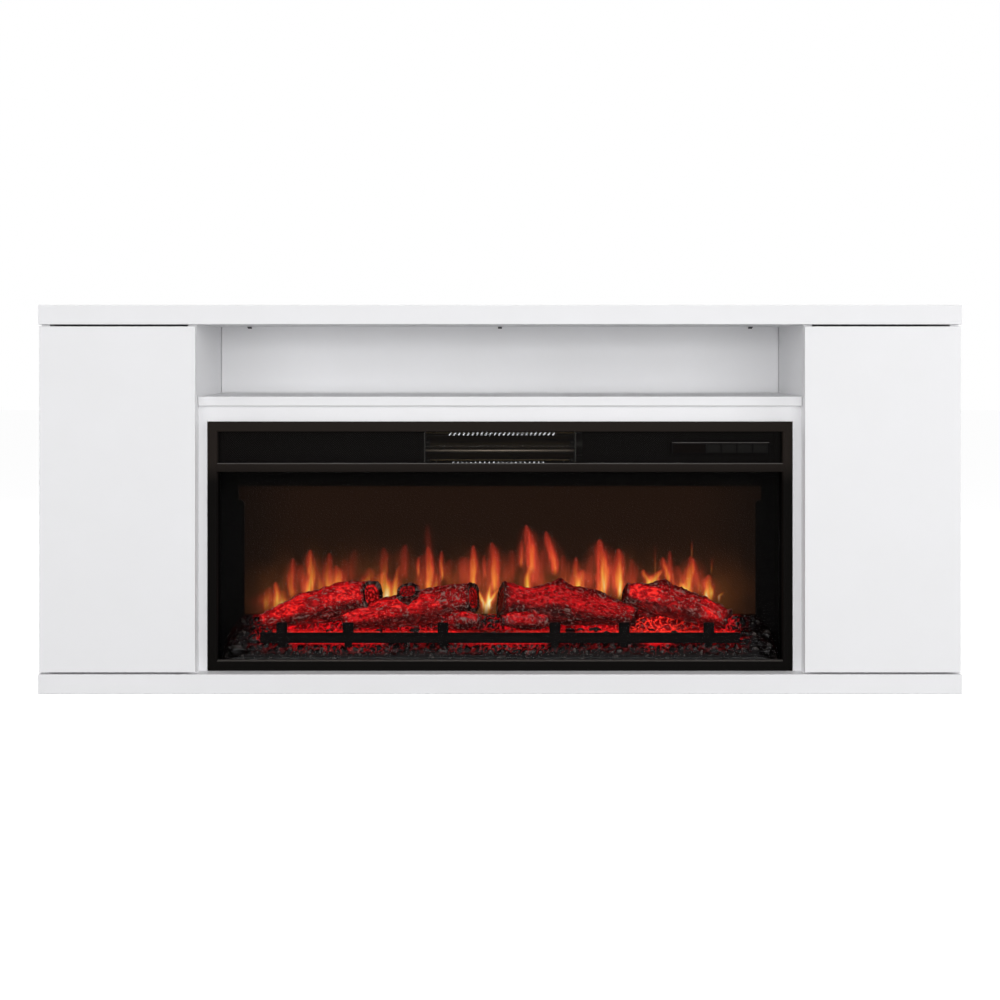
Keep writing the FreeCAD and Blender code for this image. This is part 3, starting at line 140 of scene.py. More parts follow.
looks = {
    # bright zinc on pressed steel: faint crystalline patches
    "zinc_plated_steel": {
        "name": "zinc_plated_pressed_steel", "dark": "#a9abae", "light": "#c9cbce", "grainMm": 6,
        "depthMm": 0.02, "roughness": (0.24, 0.4), "sockets": {"Metallic": 1.0}},
    # stoved enamel on small brackets: dark grey, satin
    "dark_bracket": {
        "name": "dark_enamelled_steel", "dark": "#2b2b2e", "light": "#36363a", "grainMm": 3,
        "depthMm": 0.05, "roughness": (0.4, 0.55), "sockets": {"IOR": 1.5}},
    # moulded acetal: smooth, waxy, pale grey
    "grey_plastic": {
        "name": "light_grey_acetal", "dark": "#cfcfd2", "light": "#d8d8da", "grainMm": 4, "depthMm": 0.02,
        "roughness": (0.35, 0.45), "sockets": {"IOR": 1.48}},
    # polyester powder coat: its 0.4 mm grain is drawn at 2.2 mm so that it shows;
    # the top is painted paler, as light falling from above
    "black_frame": {
        "name": "black_powder_coated_steel", "dark": "#080706", "light": "#0e0c0b", "grainMm": 2.2,
        "depthMm": 0.08, "paintedLightTopTone": "#241f1c", "topMm": (385, 425), "roughness": (0.46, 0.6),
        "sockets": {"IOR": 1.5, "Specular IOR Level": 0.02}},
    # the same coating on expanded sheet, thinner and a little glossier
    "black_mesh": {
        "name": "black_coated_expanded_steel", "dark": "#100e0d", "light": "#1a1716", "grainMm": 2,
        "depthMm": 0.05, "roughness": (0.45, 0.6), "sockets": {"IOR": 1.5, "Specular IOR Level": 0.04}},
    # heat-proof stove paint: dead matt, slightly dusty
    "black_casing": {
        "name": "matt_black_stove_paint", "dark": "#070606", "light": "#0c0b0a", "grainMm": 5,
        "depthMm": 0.05, "roughness": (0.75, 0.9), "sockets": {"IOR": 1.5, "Specular IOR Level": 0.01}},
    # sand-cast bar: rough and dead black
    "grate_iron": {
        "name": "black_cast_grate", "dark": "#080707", "light": "#121010", "grainMm": 3, "depthMm": 0.3,
        "bump": 0.5, "roughness": (0.7, 0.85), "sockets": {"IOR": 1.5, "Specular IOR Level": 0.02}},
    # cream diffuser over small lamps: smooth and pale
    "lamp_strip": {
        "name": "white_lamp_strip", "dark": "#d6cfb4", "light": "#e6dfc8", "grainMm": 8, "depthMm": 0.02,
        "roughness": (0.5, 0.6), "sockets": {"IOR": 1.5}},
    # rolled sheet: fine lines along X
    "bright_aluminium": {
        "name": "bright_rolled_aluminium", "dark": "#c4c6c9", "light": "#dfe1e4", "grainMm": 2,
        "depthMm": 0.02, "stretch": (0.05, 1, 1), "roughness": (0.2, 0.34), "sockets": {"Metallic": 1.0}},
    # zinc spangle on sheet, dull grey in the dark casing
    "motor_steel": {
        "name": "galvanised_sheet_steel", "dark": "#232321", "light": "#32322f", "grainMm": 9,
        "depthMm": 0.03, "roughness": (0.35, 0.5), "sockets": {"Metallic": 1.0}},
    # heat-tinted bright reflector: straw and bronze bands along the trough
    "gold_reflector": {
        "name": "heat_tinted_reflector_steel", "dark": "#2a2419", "light": "#54472f", "grainMm": 7,
        "depthMm": 0.03, "stretch": (0.08, 1, 1), "roughness": (0.22, 0.36), "sockets": {"Metallic": 1.0}},
    # drawn bar tinted straw by the heat: one long soft gleam
    "guard_bar": {
        "name": "heat_tinted_steel_bar", "dark": "#74695c", "light": "#988c7e", "grainMm": 9,
        "depthMm": 0.02, "stretch": (0.1, 1, 1), "roughness": (0.25, 0.4), "sockets": {"Metallic": 1.0}},
    # zinc dulled by the heat: pale grey, still bright at an angle
    "comb_tabs": {
        "name": "dulled_zinc_tabs", "dark": "#a2a4a7", "light": "#c2c4c7", "grainMm": 6, "depthMm": 0.02,
        "roughness": (0.24, 0.4), "sockets": {"Metallic": 1.0}},
    # moulded housing: fine even grain, almost black
    "black_gloss_plastic": {
        "name": "black_moulded_abs", "dark": "#0b0a0a", "light": "#121010", "grainMm": 1.5, "depthMm": 0.03,
        "roughness": (0.4, 0.5), "sockets": {"IOR": 1.53, "Specular IOR Level": 0.012}},
    # cast sheet, dark and smooth
    "smoked_window": {
        "name": "smoked_acrylic_window", "dark": "#0a0706", "light": "#0e0a09", "grainMm": 12,
        "depthMm": 0.01, "roughness": (0.3, 0.4), "sockets": {"IOR": 1.49, "Specular IOR Level": 0.008}},
    # moulded keys, a shade lighter than their housing
    "dark_keys": {
        "name": "charcoal_key_plastic", "dark": "#11100f", "light": "#191817", "grainMm": 1.5,
        "depthMm": 0.03, "roughness": (0.4, 0.5), "sockets": {"IOR": 1.53, "Specular IOR Level": 0.014}},
    # rolled edge of the coated steel, painted paler and glossier as a highlight where light catches it
    "painted_highlight_edge": {
        "name": "black_steel_painted_highlight_edge", "dark": "#383431", "light": "#4d4844", "grainMm": 14,
        "depthMm": 0.02, "stretch": (0.2, 1, 1), "roughness": (0.3, 0.45),
        "sockets": {"IOR": 1.5, "Specular IOR Level": 0.3}},
    # green mask over copper: satin, faintly uneven
    "circuit_board": {
        "name": "green_solder_mask", "dark": "#0f4a2a", "light": "#1a6a3c", "grainMm": 3, "depthMm": 0.05,
        "roughness": (0.3, 0.5), "sockets": {"IOR": 1.5}},
}

pane = {"hazeMm": 167, "roughSpread": 0.04}


def clearPane(name, tint, alpha, roughness):
    # thin clear sheet: nearly all light goes straight through, with a weak gloss and a broad faint haze
    material, tree = newMaterial(name)
    place = addNode(tree, "TexCoord")
    haze = addNode(tree, "TexNoise", {
        "Vector": (place, "Object"), "Scale": 1000 / pane["hazeMm"], "Detail": 2.0})
    rough = addNode(tree, "MapRange", {
        "Value": (haze, "Fac"), "To Min": roughness, "To Max": roughness + pane["roughSpread"]})
    shader = addNode(tree, "BsdfPrincipled", {
        "Base Color": linear(tint), "Roughness": (rough, 0), "IOR": 1.5, "Alpha": alpha})
    finishMaterial(tree, shader)
    return material


resin = {"gritMm": 2.38, "gritHeightMm": 0.6, "gritBump": 0.4, "roughSpread": 0.12}


def glowMaterial(name, specular, roughness):
    # moulded translucent resin, painted and lit from inside, both by the piece's own attributes
    material, tree = newMaterial(name)
    paint = addNode(tree, "Attribute", attribute_name="paint")
    glow = addNode(tree, "Attribute", attribute_name="glow")
    place = addNode(tree, "TexCoord")
    grit = addNode(tree, "TexNoise", {
        "Vector": (place, "Object"), "Scale": 1000 / resin["gritMm"], "Detail": 3.0})
    bump = addNode(tree, "Bump", {
        "Height": (grit, "Fac"), "Strength": resin["gritBump"], "Distance": resin["gritHeightMm"] / 1000})
    spread = resin["roughSpread"]
    rough = addNode(tree, "MapRange", {
        "Value": (grit, "Fac"), "To Min": roughness - spread, "To Max": roughness + spread})
    shader = addNode(tree, "BsdfPrincipled", {
        "Base Color": (paint, "Color"), "Emission Color": (glow, "Color"), "Emission Strength": 1.0,
        "Roughness": (rough, 0), "Normal": (bump, 0), "IOR": 1.5, "Specular IOR Level": specular})
    finishMaterial(tree, shader)
    return material


finishes = {"white_lacquer": whiteLacquer()}
finishes.update({slot: grainedMaterial(look) for slot, look in looks.items()})
# sheets, by name, tint, how much they cover and roughness: float glass that is all but unseen, and a drawn
# tube faintly browned by heat
finishes["fire_glass"] = clearPane("clear_toughened_glass", "#0a0a0a", 0.02, 0.03)
finishes["quartz"] = clearPane("clear_fused_quartz", "#4a3d2c", 0.3, 0.08)
# resins, by name, specular level and roughness: dull bark, glassy embers and a film with no gloss
finishes["log_resin"] = glowMaterial("painted_glowing_log_resin", 0.03, 0.5)
finishes["ember_resin"] = glowMaterial("painted_glowing_ember_resin", 0.10, 0.22)
finishes["screen_film"] = glowMaterial("back_lit_flame_film", 0.0, 0.7)

for entry in frame["record"]["subparts"]:
    mesh = nodes[entry["node"]].data
    mesh.materials.clear()
    mesh.materials.append(finishes[entry["material_slot"]])
print("finishes set:", len(finishes))


def hashed(key, seed):
    # a fixed value from 0 to 1 for a whole-number corner: its parts times large numbers, mixed in 32 bits
    mixed = key[..., 0] * 374761393 + key[..., 1] * 668265263 + key[..., 2] * 974634777 + seed * 1442695
    mixed = mixed & 0xFFFFFFFF
    mixed = ((mixed ^ (mixed >> 13)) * 1274126177) & 0xFFFFFFFF
    return ((mixed ^ (mixed >> 16)) & 0xFFFF) / 65535


def latticeNoise(points, seed):
    # smooth noise from -1 to 1: hashed values at whole-number corners, blended by a quintic fade
    base = np.floor(points).astype(np.int64)
    part = points - base
    fade = part ** 3 * (part * (part * 6 - 15) + 10)
    total = np.zeros(points.shape[:-1])
    for corner in np.ndindex(2, 2, 2):
        weight = np.prod(np.where(np.array(corner) == 1, fade, 1 - fade), axis=-1)
        total += hashed(base + np.array(corner), seed) * weight
    return total * 2 - 1


def fractal(points, octaves, seed):
    # sum of octaves, each twice as fine and half as strong
    total = np.zeros(points.shape[:-1])
    for octave in range(octaves):
        total += latticeNoise(points * 2 ** octave, seed + octave) / 2 ** octave
    return total


def cells(points, seed):
    # distances to the nearest and second nearest of one scattered point per unit cube
    base = np.floor(points).astype(np.int64)
    nearest = second = np.full(points.shape[:-1], np.inf)
    for corner in np.ndindex(3, 3, 3):
        key = base + np.array(corner) - 1
        spot = np.empty(points.shape)
        for axis in range(3):
            spot[..., axis] = key[..., axis] + hashed(key, seed * 7 + axis)
        gap = np.sqrt(((points - spot) ** 2).sum(axis=-1))
        second = np.where(gap < nearest, nearest, np.minimum(second, gap))
        nearest = np.minimum(nearest, gap)
    return nearest, second


def smooth(low, high, value):
    # 0 up to low, 1 from high on and an S between; falls instead where low is the larger
    t = np.clip((value - low) / (high - low), 0, 1)
    return t * t * (3 - 2 * t)


def wrapQuads(rows, columns, wrapped):
    # quads of a rows x columns grid, joined round its columns where wrapped
    ids = np.arange(rows * columns).reshape(rows, columns)
    if wrapped:
        ids = np.concatenate([ids, ids[:, :1]], axis=1)
    return np.stack([ids[:-1, :-1], ids[:-1, 1:], ids[1:, 1:], ids[1:, :-1]], axis=-1).reshape(-1, 4)


def closeTube(rings):
    # rings joined along their length, each end closed by a fan to its middle
    rows, columns = rings.shape[:2]
    points = np.concatenate([rings.reshape(-1, 3), rings[:1].mean(axis=1), rings[-1:].mean(axis=1)])
    faces = wrapQuads(rows, columns, True).tolist()
    around = np.arange(columns)
    ahead = (around + 1) % columns
    first, last = rows * columns, rows * columns + 1
    faces += np.stack([ahead, around, np.full(columns, first)], axis=-1).tolist()
    ends = (rows - 1) * columns
    faces += np.stack([ends + around, ends + ahead, np.full(columns, last)], axis=-1).tolist()
    return points, faces


def boxFaces(low, high, shear=(0, 0, 0)):
    # eight corners and six faces of a box, its top moved by shear
    corners = np.array([[x, y, z] for z in (0, 1) for y in (0, 1) for x in (0, 1)], float)
    points = np.array(low) + corners * (np.array(high) - np.array(low)) + corners[:, 2:] * np.array(shear)
    faces = [[0, 2, 3, 1], [4, 5, 7, 6], [0, 1, 5, 4], [2, 6, 7, 3], [0, 4, 6, 2], [1, 3, 7, 5]]
    return points, faces


def joinPieces(parts):
    # several (points, faces) as one
    points, faces, start = [], [], 0
    for some, loops in parts:
        points.append(some)
        faces += [[i + start for i in loop] for loop in loops]
        start += len(some)
    return np.concatenate(points), faces


def makePiece(name, points, faces, slot, replaced=(), colours=None, shaded=True, finish=None):
    # a mesh that rides on the cabinet, its faces turned outwards by the sign of its volume
    mesh = bpy.data.meshes.new(name)
    mesh.from_pydata(points.tolist(), [], faces)
    mesh.update()
    piece = bpy.data.objects.new(name, mesh)
    scene.collection.objects.link(piece)
    mesh.calc_loop_triangles()
    corners = np.empty(len(mesh.loop_triangles) * 3, np.int32)
    mesh.loop_triangles.foreach_get("vertices", corners)
    a, b, c = (points[corners.reshape(-1, 3)[:, i]] for i in range(3))
    if (a * np.cross(b, c)).sum() < 0:
        mesh.flip_normals()
    for attribute, values in (colours or {}).items():
        layer = mesh.attributes.new(attribute, "FLOAT_COLOR", "POINT")
        opaque = np.concatenate([values, np.ones((len(values), 1))], axis=1)
        layer.data.foreach_set("color", opaque.astype(np.float32).ravel())
    if shaded:
        mesh.polygons.foreach_set("use_smooth", np.ones(len(mesh.polygons), bool))
    mesh.materials.append(finishes[finish or slot])
    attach(piece, "cabinet")
    if replaced:
        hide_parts(*replaced)


# air-outlet mesh: a lattice of coated strands round diamond holes (metres)
meshSheet = {"cellWide": 0.0044, "cellHigh": 0.0042, "strand": 0.0008, "slant": 1.3, "rim": 0.005}


def outletMesh():
    # each diamond cell is a frame: four corners outside, four inside, front and back
    low, high = (np.array(v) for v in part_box("mesh_panel"))
    left, right = low[0] + meshSheet["rim"], high[0] - meshSheet["rim"]
    bottom, top = low[2] + meshSheet["rim"], high[2] - meshSheet["rim"]
    columns = int((right - left) / meshSheet["cellWide"])
    rows = int((top - bottom) / meshSheet["cellHigh"])
    wide, tall = (right - left) / columns, (top - bottom) / rows
    i, j = np.meshgrid(np.arange(2 * columns + 1), np.arange(2 * rows + 1), indexing="ij")
    inside = ((i + j) % 2 == 1) & (i > 0) & (i < 2 * columns) & (j > 0) & (j < 2 * rows)
    middle = np.stack([left + i[inside] * wide / 2, bottom + j[inside] * tall / 2], axis=-1)
    tip = np.array([[-1, 0], [0, -1], [1, 0], [0, 1]]) * np.array([wide, tall]) / 2
    shrink = 1 - meshSheet["strand"] / min(wide, tall) * meshSheet["slant"]
    outer = middle[:, None] + tip
    inner = middle[:, None] + tip * shrink
    front, back = low[1], high[1]
    ring = [np.insert(shape, 1, depth, axis=2) for depth in (front, back) for shape in (outer, inner)]
    points = np.stack(ring, axis=1).reshape(-1, 3)
    # 16 points to a cell: outer and inner at the front, then at the back
    start = np.arange(len(middle))[:, None] * 16
    faces = []
    for k in range(4):
        n = (k + 1) % 4
        for loop in ([k, n, 4 + n, 4 + k], [8 + n, 8 + k, 12 + k, 12 + n], [4 + k, 4 + n, 12 + n, 12 + k]):
            faces.append(start + np.array(loop))
    rimBars = [
        boxFaces(low, (high[0], high[1], bottom)),
        boxFaces((low[0], low[1], top), high),
        boxFaces((low[0], low[1], bottom), (left, high[1], top)),
        boxFaces((right, low[1], bottom), (high[0], high[1], top)),
    ]
    lattice = (points, np.concatenate(faces).tolist())
    points, faces = joinPieces([lattice] + rimBars)
    makePiece("outletMesh", points, faces, "black_mesh", ["mesh_panel"], shaded=False)


outletMesh()
print("outlet mesh made")


# painted highlights as bright strips: the ledge under the mesh, the sill under the glass and the top of the key
# panel (metres)
edges = {"thick": 0.001, "setBack": 0.001, "sillRise": 0.005, "panelThick": 0.0007, "panelInset": 0.0005}


def paintedHighlightEdges():
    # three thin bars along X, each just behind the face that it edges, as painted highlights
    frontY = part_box("insert_frame")[0][1] + edges["setBack"]
    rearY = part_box("mesh_panel")[0][1]
    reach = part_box("mesh_panel")[1][0] - meshSheet["rim"]
    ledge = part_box("mesh_panel")[0][2] + meshSheet["rim"]
    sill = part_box("glass_panel")[0][2] + edges["sillRise"]
    bars = [boxFaces((-reach, frontY, level), (reach, rearY, level + edges["thick"]))
            for level in (ledge, sill)]
    low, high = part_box("control_bezel")
    inset = edges["panelInset"]
    bars.append(boxFaces((low[0] + inset, low[1] + edges["setBack"] / 2, high[2]),
                         (high[0] - inset, high[1], high[2] + edges["panelThick"])))
    points, faces = joinPieces(bars)
    makePiece("paintedHighlightEdges", points, faces, "black_frame", shaded=False, finish="painted_highlight_edge")


paintedHighlightEdges()
print("worn edges made")


# flame film: the back-lit screen with its flame picture
flameFilm = {
    "columnMm": 2.0, "fineRowMm": 2.0, "coarseRowMm": 12.0, "fineFromMm": 92, "fineToMm": 320,
    "dark": "#1f120b", "edge": "#140c08", "haze": "#6b3a18", "hazeLevelMm": 158, "hazeSpreadMm": 58,
    "red": "#cf3420", "orange": "#f07828", "yellow": "#eab23a", "pale": "#fce2a6", "deep": "#8e1c1c",
    "shadeMm": (372, 380), "sideMm": (360, 505),  # darkens over these levels, and over these distances sideways
    "smokeMm": (30, 60), "streakMm": (3.5, 45), "raggedMm": (4, 14),  # width and height of each pattern
    "strengthByX": ([-430, -300, -100, 40, 250, 400], [0.78, 0.78, 0.95, 1.18, 1.15, 1.05]),
    "backing": "#060403", "level": 0.95,
}
# each tongue: foot X and Z, tip X and Z, half width (all mm), heat from 0 red to 1 pale, strength
tongues = [
    (-429, 153, -430, 188, 6, 0.60, 0.95), (-426, 140, -424, 172, 20, 0.85, 0.40),
    (-398, 168, -399, 234, 8, 0.35, 0.78), (-367, 168, -363, 250, 9.5, 0.62, 0.95),
    (-378, 172, -382, 222, 8, 0.20, 0.55), (-328, 176, -330, 244, 9, 0.45, 0.60),
    (-313, 178, -315, 219, 12, 0.55, 0.75), (-346, 168, -348, 207, 9, 0.45, 0.50),
    (-284, 201, -280, 251, 8, 0.10, 0.20), (-257, 186, -251, 215, 12, 0.50, 0.40),
    (-219, 150, -221, 207, 12, 0.90, 0.95), (-203, 154, -194, 219, 7, 0.68, 0.60),
    (-222, 198, -225, 254, 8, 0.35, 0.40), (-232, 156, -238, 192, 8, 0.75, 0.60),
    (-186, 204, -182, 260, 8, 0.10, 0.45), (-157, 208, -157, 236, 3, 0.35, 0.60),
    (-134, 168, -137, 256, 9.5, 0.50, 0.95), (-138, 236, -139, 300, 5, 0.20, 0.12),
    (-112, 202, -113, 248, 3.5, 0.45, 0.72), (-123, 174, -121, 204, 6, 0.50, 0.50),
    (-54, 182, -50, 258, 8, 0.50, 0.78), (-30, 204, -31, 240, 3, 0.20, 0.60),
    (-6, 182, -17, 264, 10, 0.40, 0.82), (-31, 147, -48, 177, 4, 0.78, 0.95),
    (-22, 148, -1, 174, 4.5, 0.86, 1.00), (-22, 150, -17, 190, 4, 0.80, 0.95),
    (62, 220, 52, 297, 9.5, 0.32, 1.00), (40, 226, 43, 269, 3.5, 0.30, 0.58), (54, 170, 56, 220, 8, 0.75, 0.95),
    (69, 192, 73, 238, 6, 0.12, 0.52), (104, 214, 90, 285, 8, 0.28, 0.85), (150, 174, 144, 235, 8, 0.45, 0.58),
    (150, 172, 158, 212, 10, 0.60, 0.72), (196, 172, 194, 270, 13.5, 0.44, 1.00),
    (200, 176, 199, 238, 5, 0.80, 0.60), (231, 172, 226, 252, 12, 0.48, 1.00),
    (231, 172, 230, 227, 5, 0.80, 0.70), (285, 189, 275, 211, 7, 0.60, 0.78),
    (296, 189, 309, 211, 8, 0.65, 0.82), (290, 181, 290, 200, 14, 0.70, 0.70),
    (323, 195, 314, 235, 6, 0.45, 0.78), (332, 186, 325, 248, 4, 0.25, 0.52),
    (365, 178, 366, 237, 11, 0.52, 1.00), (361, 163, 350, 187, 9, 0.98, 0.90),
    (402, 166, 400, 202, 8.5, 0.60, 0.92), (400, 156, 396, 181, 6, 0.95, 0.85),
    (421, 160, 431, 169, 3, 0.80, 0.30), (298, 205, 298, 262, 0.9, 0.40, 0.14),
    (369, 243, 369, 266, 0.9, 0.40, 0.20), (407, 212, 408, 238, 0.9, 0.40, 0.18),
    (-70, 196, -72, 238, 12, 0.20, 0.22), (-96, 190, -98, 232, 12, 0.25, 0.22),
    (20, 196, 22, 250, 12, 0.15, 0.26), (122, 190, 124, 240, 10, 0.20, 0.24),
    (172, 188, 176, 240, 8, 0.15, 0.30), (256, 180, 252, 232, 9, 0.22, 0.34),
    (345, 180, 342, 220, 9, 0.30, 0.34), (384, 176, 386, 212, 8, 0.28, 0.36),
    (-450, 146, -446, 178, 10, 0.50, 0.30), (-300, 180, -298, 232, 10, 0.20, 0.26),
    # broad low blazes behind the log tops
    (-222, 148, -226, 205, 20, 0.80, 0.50), (-204, 150, -200, 196, 14, 0.85, 0.45),
    (-320, 172, -322, 214, 18, 0.55, 0.40), (-424, 138, -420, 160, 26, 0.85, 0.45),
    (146, 172, 152, 208, 15, 0.55, 0.50), (354, 160, 352, 186, 13, 0.95, 0.60),
    (-150, 186, -148, 240, 16, 0.10, 0.35), (-60, 176, -66, 236, 16, 0.12, 0.35),
    (78, 186, 80, 250, 14, 0.05, 0.40), (-25, 142, -22, 170, 10, 0.78, 0.60),
    (-22, 147, -20, 166, 4, 1.00, 0.85), (-20, 176, -24, 232, 22, 0.10, 0.30),
]


def filmPlaces(x, z, sizes, depth=0.0):
    # places on the film in units of a pattern's width and height
    return np.stack([x / sizes[0], z / sizes[1], np.full_like(x, depth)], axis=-1)


def flamePicture(x, z):
    # dark film and a warm haze over the logs, then each tongue screened on: bellied below, pointed
    # at its tip, hottest low in its core, red at its edges and tip
    names = ("dark", "edge", "haze", "deep", "red", "orange", "yellow", "pale")
    shade = {name: np.array(linear(flameFilm[name])[:3]) for name in names}
    smoke = 0.5 + 0.5 * fractal(filmPlaces(x, z, flameFilm["smokeMm"]), 3, 11)
    side = smooth(*flameFilm["sideMm"], np.abs(x))[..., None]
    picture = shade["dark"] * (1 - side) + shade["edge"] * side
    rise = np.exp(-((z - flameFilm["hazeLevelMm"]) / flameFilm["hazeSpreadMm"]) ** 2)
    picture = picture + shade["haze"] * (rise * (0.20 + 0.55 * smoke) * (1 - 0.85 * side[..., 0]))[..., None]
    streak = latticeNoise(filmPlaces(x, z, flameFilm["streakMm"]), 17)
    steps = [shade[name] for name in ("deep", "red", "orange", "yellow", "pale")]
    for number, (footX, footZ, tipX, tipZ, half, heat, strength) in enumerate(tongues):
        strength = strength * np.interp(footX, *flameFilm["strengthByX"])
        t = (z - footZ) / (tipZ - footZ)
        up = np.clip(t, 0, 1)
        # its middle line sways, and its half width swells above the foot and closes to the tip
        sway = half * (0.22 * np.sin(up * 5 + number * 1.9) + 0.5 * up * (1 - up) * np.sin(number * 2.3))
        line = footX + (tipX - footX) * up + sway
        width = 1.45 * half * (1 - up) ** 0.75 * (0.65 + 1.4 * up) + 0.35
        ragged = 0.22 * latticeNoise(filmPlaces(x, z, flameFilm["raggedMm"], number * 3.7), 5)
        # a soft foot and a fading tip; the hot core leans to one side
        lean = 0.18 * np.sin(number * 4.1)
        off = np.abs((x - line) / width + ragged)
        foot = smooth(footZ - 12 - half * 0.8, footZ + half * 0.4, z)
        body = smooth(1.25, 0.30, off) * foot * (1 - 0.62 * up ** 1.5) * (t < 1)
        core = smooth(0.85, 0.0, np.abs((x - line) / width + ragged + lean)) * (1 - 0.85 * up)
        # colour in steps from deep red to pale
        warm = np.clip(0.10 + heat * (0.26 + 0.90 * core) - 0.12 * up, 0, 1)[..., None] * (len(steps) - 1)
        hue = sum(colour * np.clip(1 - np.abs(warm - k), 0, 1) for k, colour in enumerate(steps))
        amount = np.clip(body * strength * (0.90 + 0.34 * streak), 0, 1)[..., None]
        # a dim red skirt is screened on first, then the tongue
        skirt = smooth(2.8, 0.2, off) * foot * (1 - 0.8 * up) * (t < 1) * strength * (0.85 + 0.4 * streak)
        picture = 1 - (1 - picture) * (1 - (shade["deep"] * 0.50 + shade["haze"] * 0.28) * skirt[..., None])
        picture = 1 - (1 - picture) * (1 - hue * amount)
    return picture * (1 - 0.85 * smooth(*flameFilm["shadeMm"], z))[..., None]


def makeFlameFilm():
    # a flat front grid with finer rows where the flames are, walls from its rim and one face behind
    low, high = (np.array(v) * 1000 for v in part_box("flame_screen"))
    columns = np.linspace(low[0], high[0], int((high[0] - low[0]) / flameFilm["columnMm"]) + 1)
    zones = [(low[2], flameFilm["fineFromMm"], flameFilm["coarseRowMm"]),
             (flameFilm["fineFromMm"], flameFilm["fineToMm"], flameFilm["fineRowMm"]),
             (flameFilm["fineToMm"], high[2], flameFilm["coarseRowMm"])]
    rows = [np.linspace(a, b, max(2, int((b - a) / step) + 1)) for a, b, step in zones]
    z, x = np.meshgrid(np.unique(np.concatenate(rows)), columns, indexing="ij")
    front = np.stack([x, np.full_like(x, low[1]), z], axis=-1)
    n, m = x.shape
    faces = wrapQuads(n, m, False).tolist()
    ids = np.arange(n * m).reshape(n, m)
    rim = np.concatenate([ids[0, :-1], ids[:-1, -1], ids[-1, :0:-1], ids[:0:-1, 0]])
    behind = front.reshape(-1, 3)[rim].copy()
    behind[:, 1] = high[1]
    back = n * m + np.arange(len(rim))
    ahead = np.roll(np.arange(len(rim)), -1)
    faces += np.stack([rim[ahead], rim, back, back[ahead]], axis=-1).tolist()
    faces.append(back[::-1].tolist())
    points = np.concatenate([front.reshape(-1, 3), behind]) / 1000
    picture = flamePicture(x, z).reshape(-1, 3)
    glow = np.concatenate([picture, picture[rim] * 0]) * flameFilm["level"]
    paint = np.tile(np.array(linear(flameFilm["backing"])[:3]), (len(points), 1))
    colours = {"glow": glow, "paint": paint}
    makePiece("flameFilm", points, faces, "screen_film", ["flame_screen"], colours, shaded=False)


makeFlameFilm()
print("flame film made")


# ember bed: a bumpy moulded slope with light in the cracks between its coals
emberGlow = {"hot": "#ff5a34", "red": "#dc1219", "ashAndGlint": "#6a625e", "char": "#080606", "bark": "#0c0605",
             "fleckAndGlint": "#948279"}
ember = {name: np.array(linear(value)[:3]) for name, value in emberGlow.items()}
bedShape = {
    "columnMm": 1.6, "rowMm": 1.6, "coalMm": 13, "coalRiseMm": 6.0, "gritMm": 4.5, "gritRiseMm": 1.9,
    "endSlopeMm": 34, "endDrop": 0.42, "warpMm": 11, "warpBy": 4.5,
    # level of the shelf under the logs, height of the front lip, depth of the front slope
    "shelf": 102.5, "lipMm": 20, "slopeMm": 32,
    # in Y: foot and brow of the mound behind the logs, where the logs begin to cover the bed, and their seat
    "mound": (-62.0, -42.0), "covered": (-96, -84), "seat": (-92, -62),
}
bedLight = {
    # middle and half width in X, and strength, of the glowing gaps between the logs and the bar
    "gaps": [(-352, 55, 0.24), (176, 66, 0.42), (328, 66, 0.36)],
    "hotNet": (292, 62), "darkMiddle": (-18, 24),  # middle and half width in X
    "lipMiddle": -20, "lipFade": (5, 60),  # the bright lip is dark at its middle
    "patchMm": 60, "slopeLevels": (58, 88), "slopeEnds": (480, 438), "shelfEnds": (452, 428),
    "lineLevel": 81.5, "lineHalf": 1.4, "lineEnds": (458, 448),  # thin bright line under the bar
}


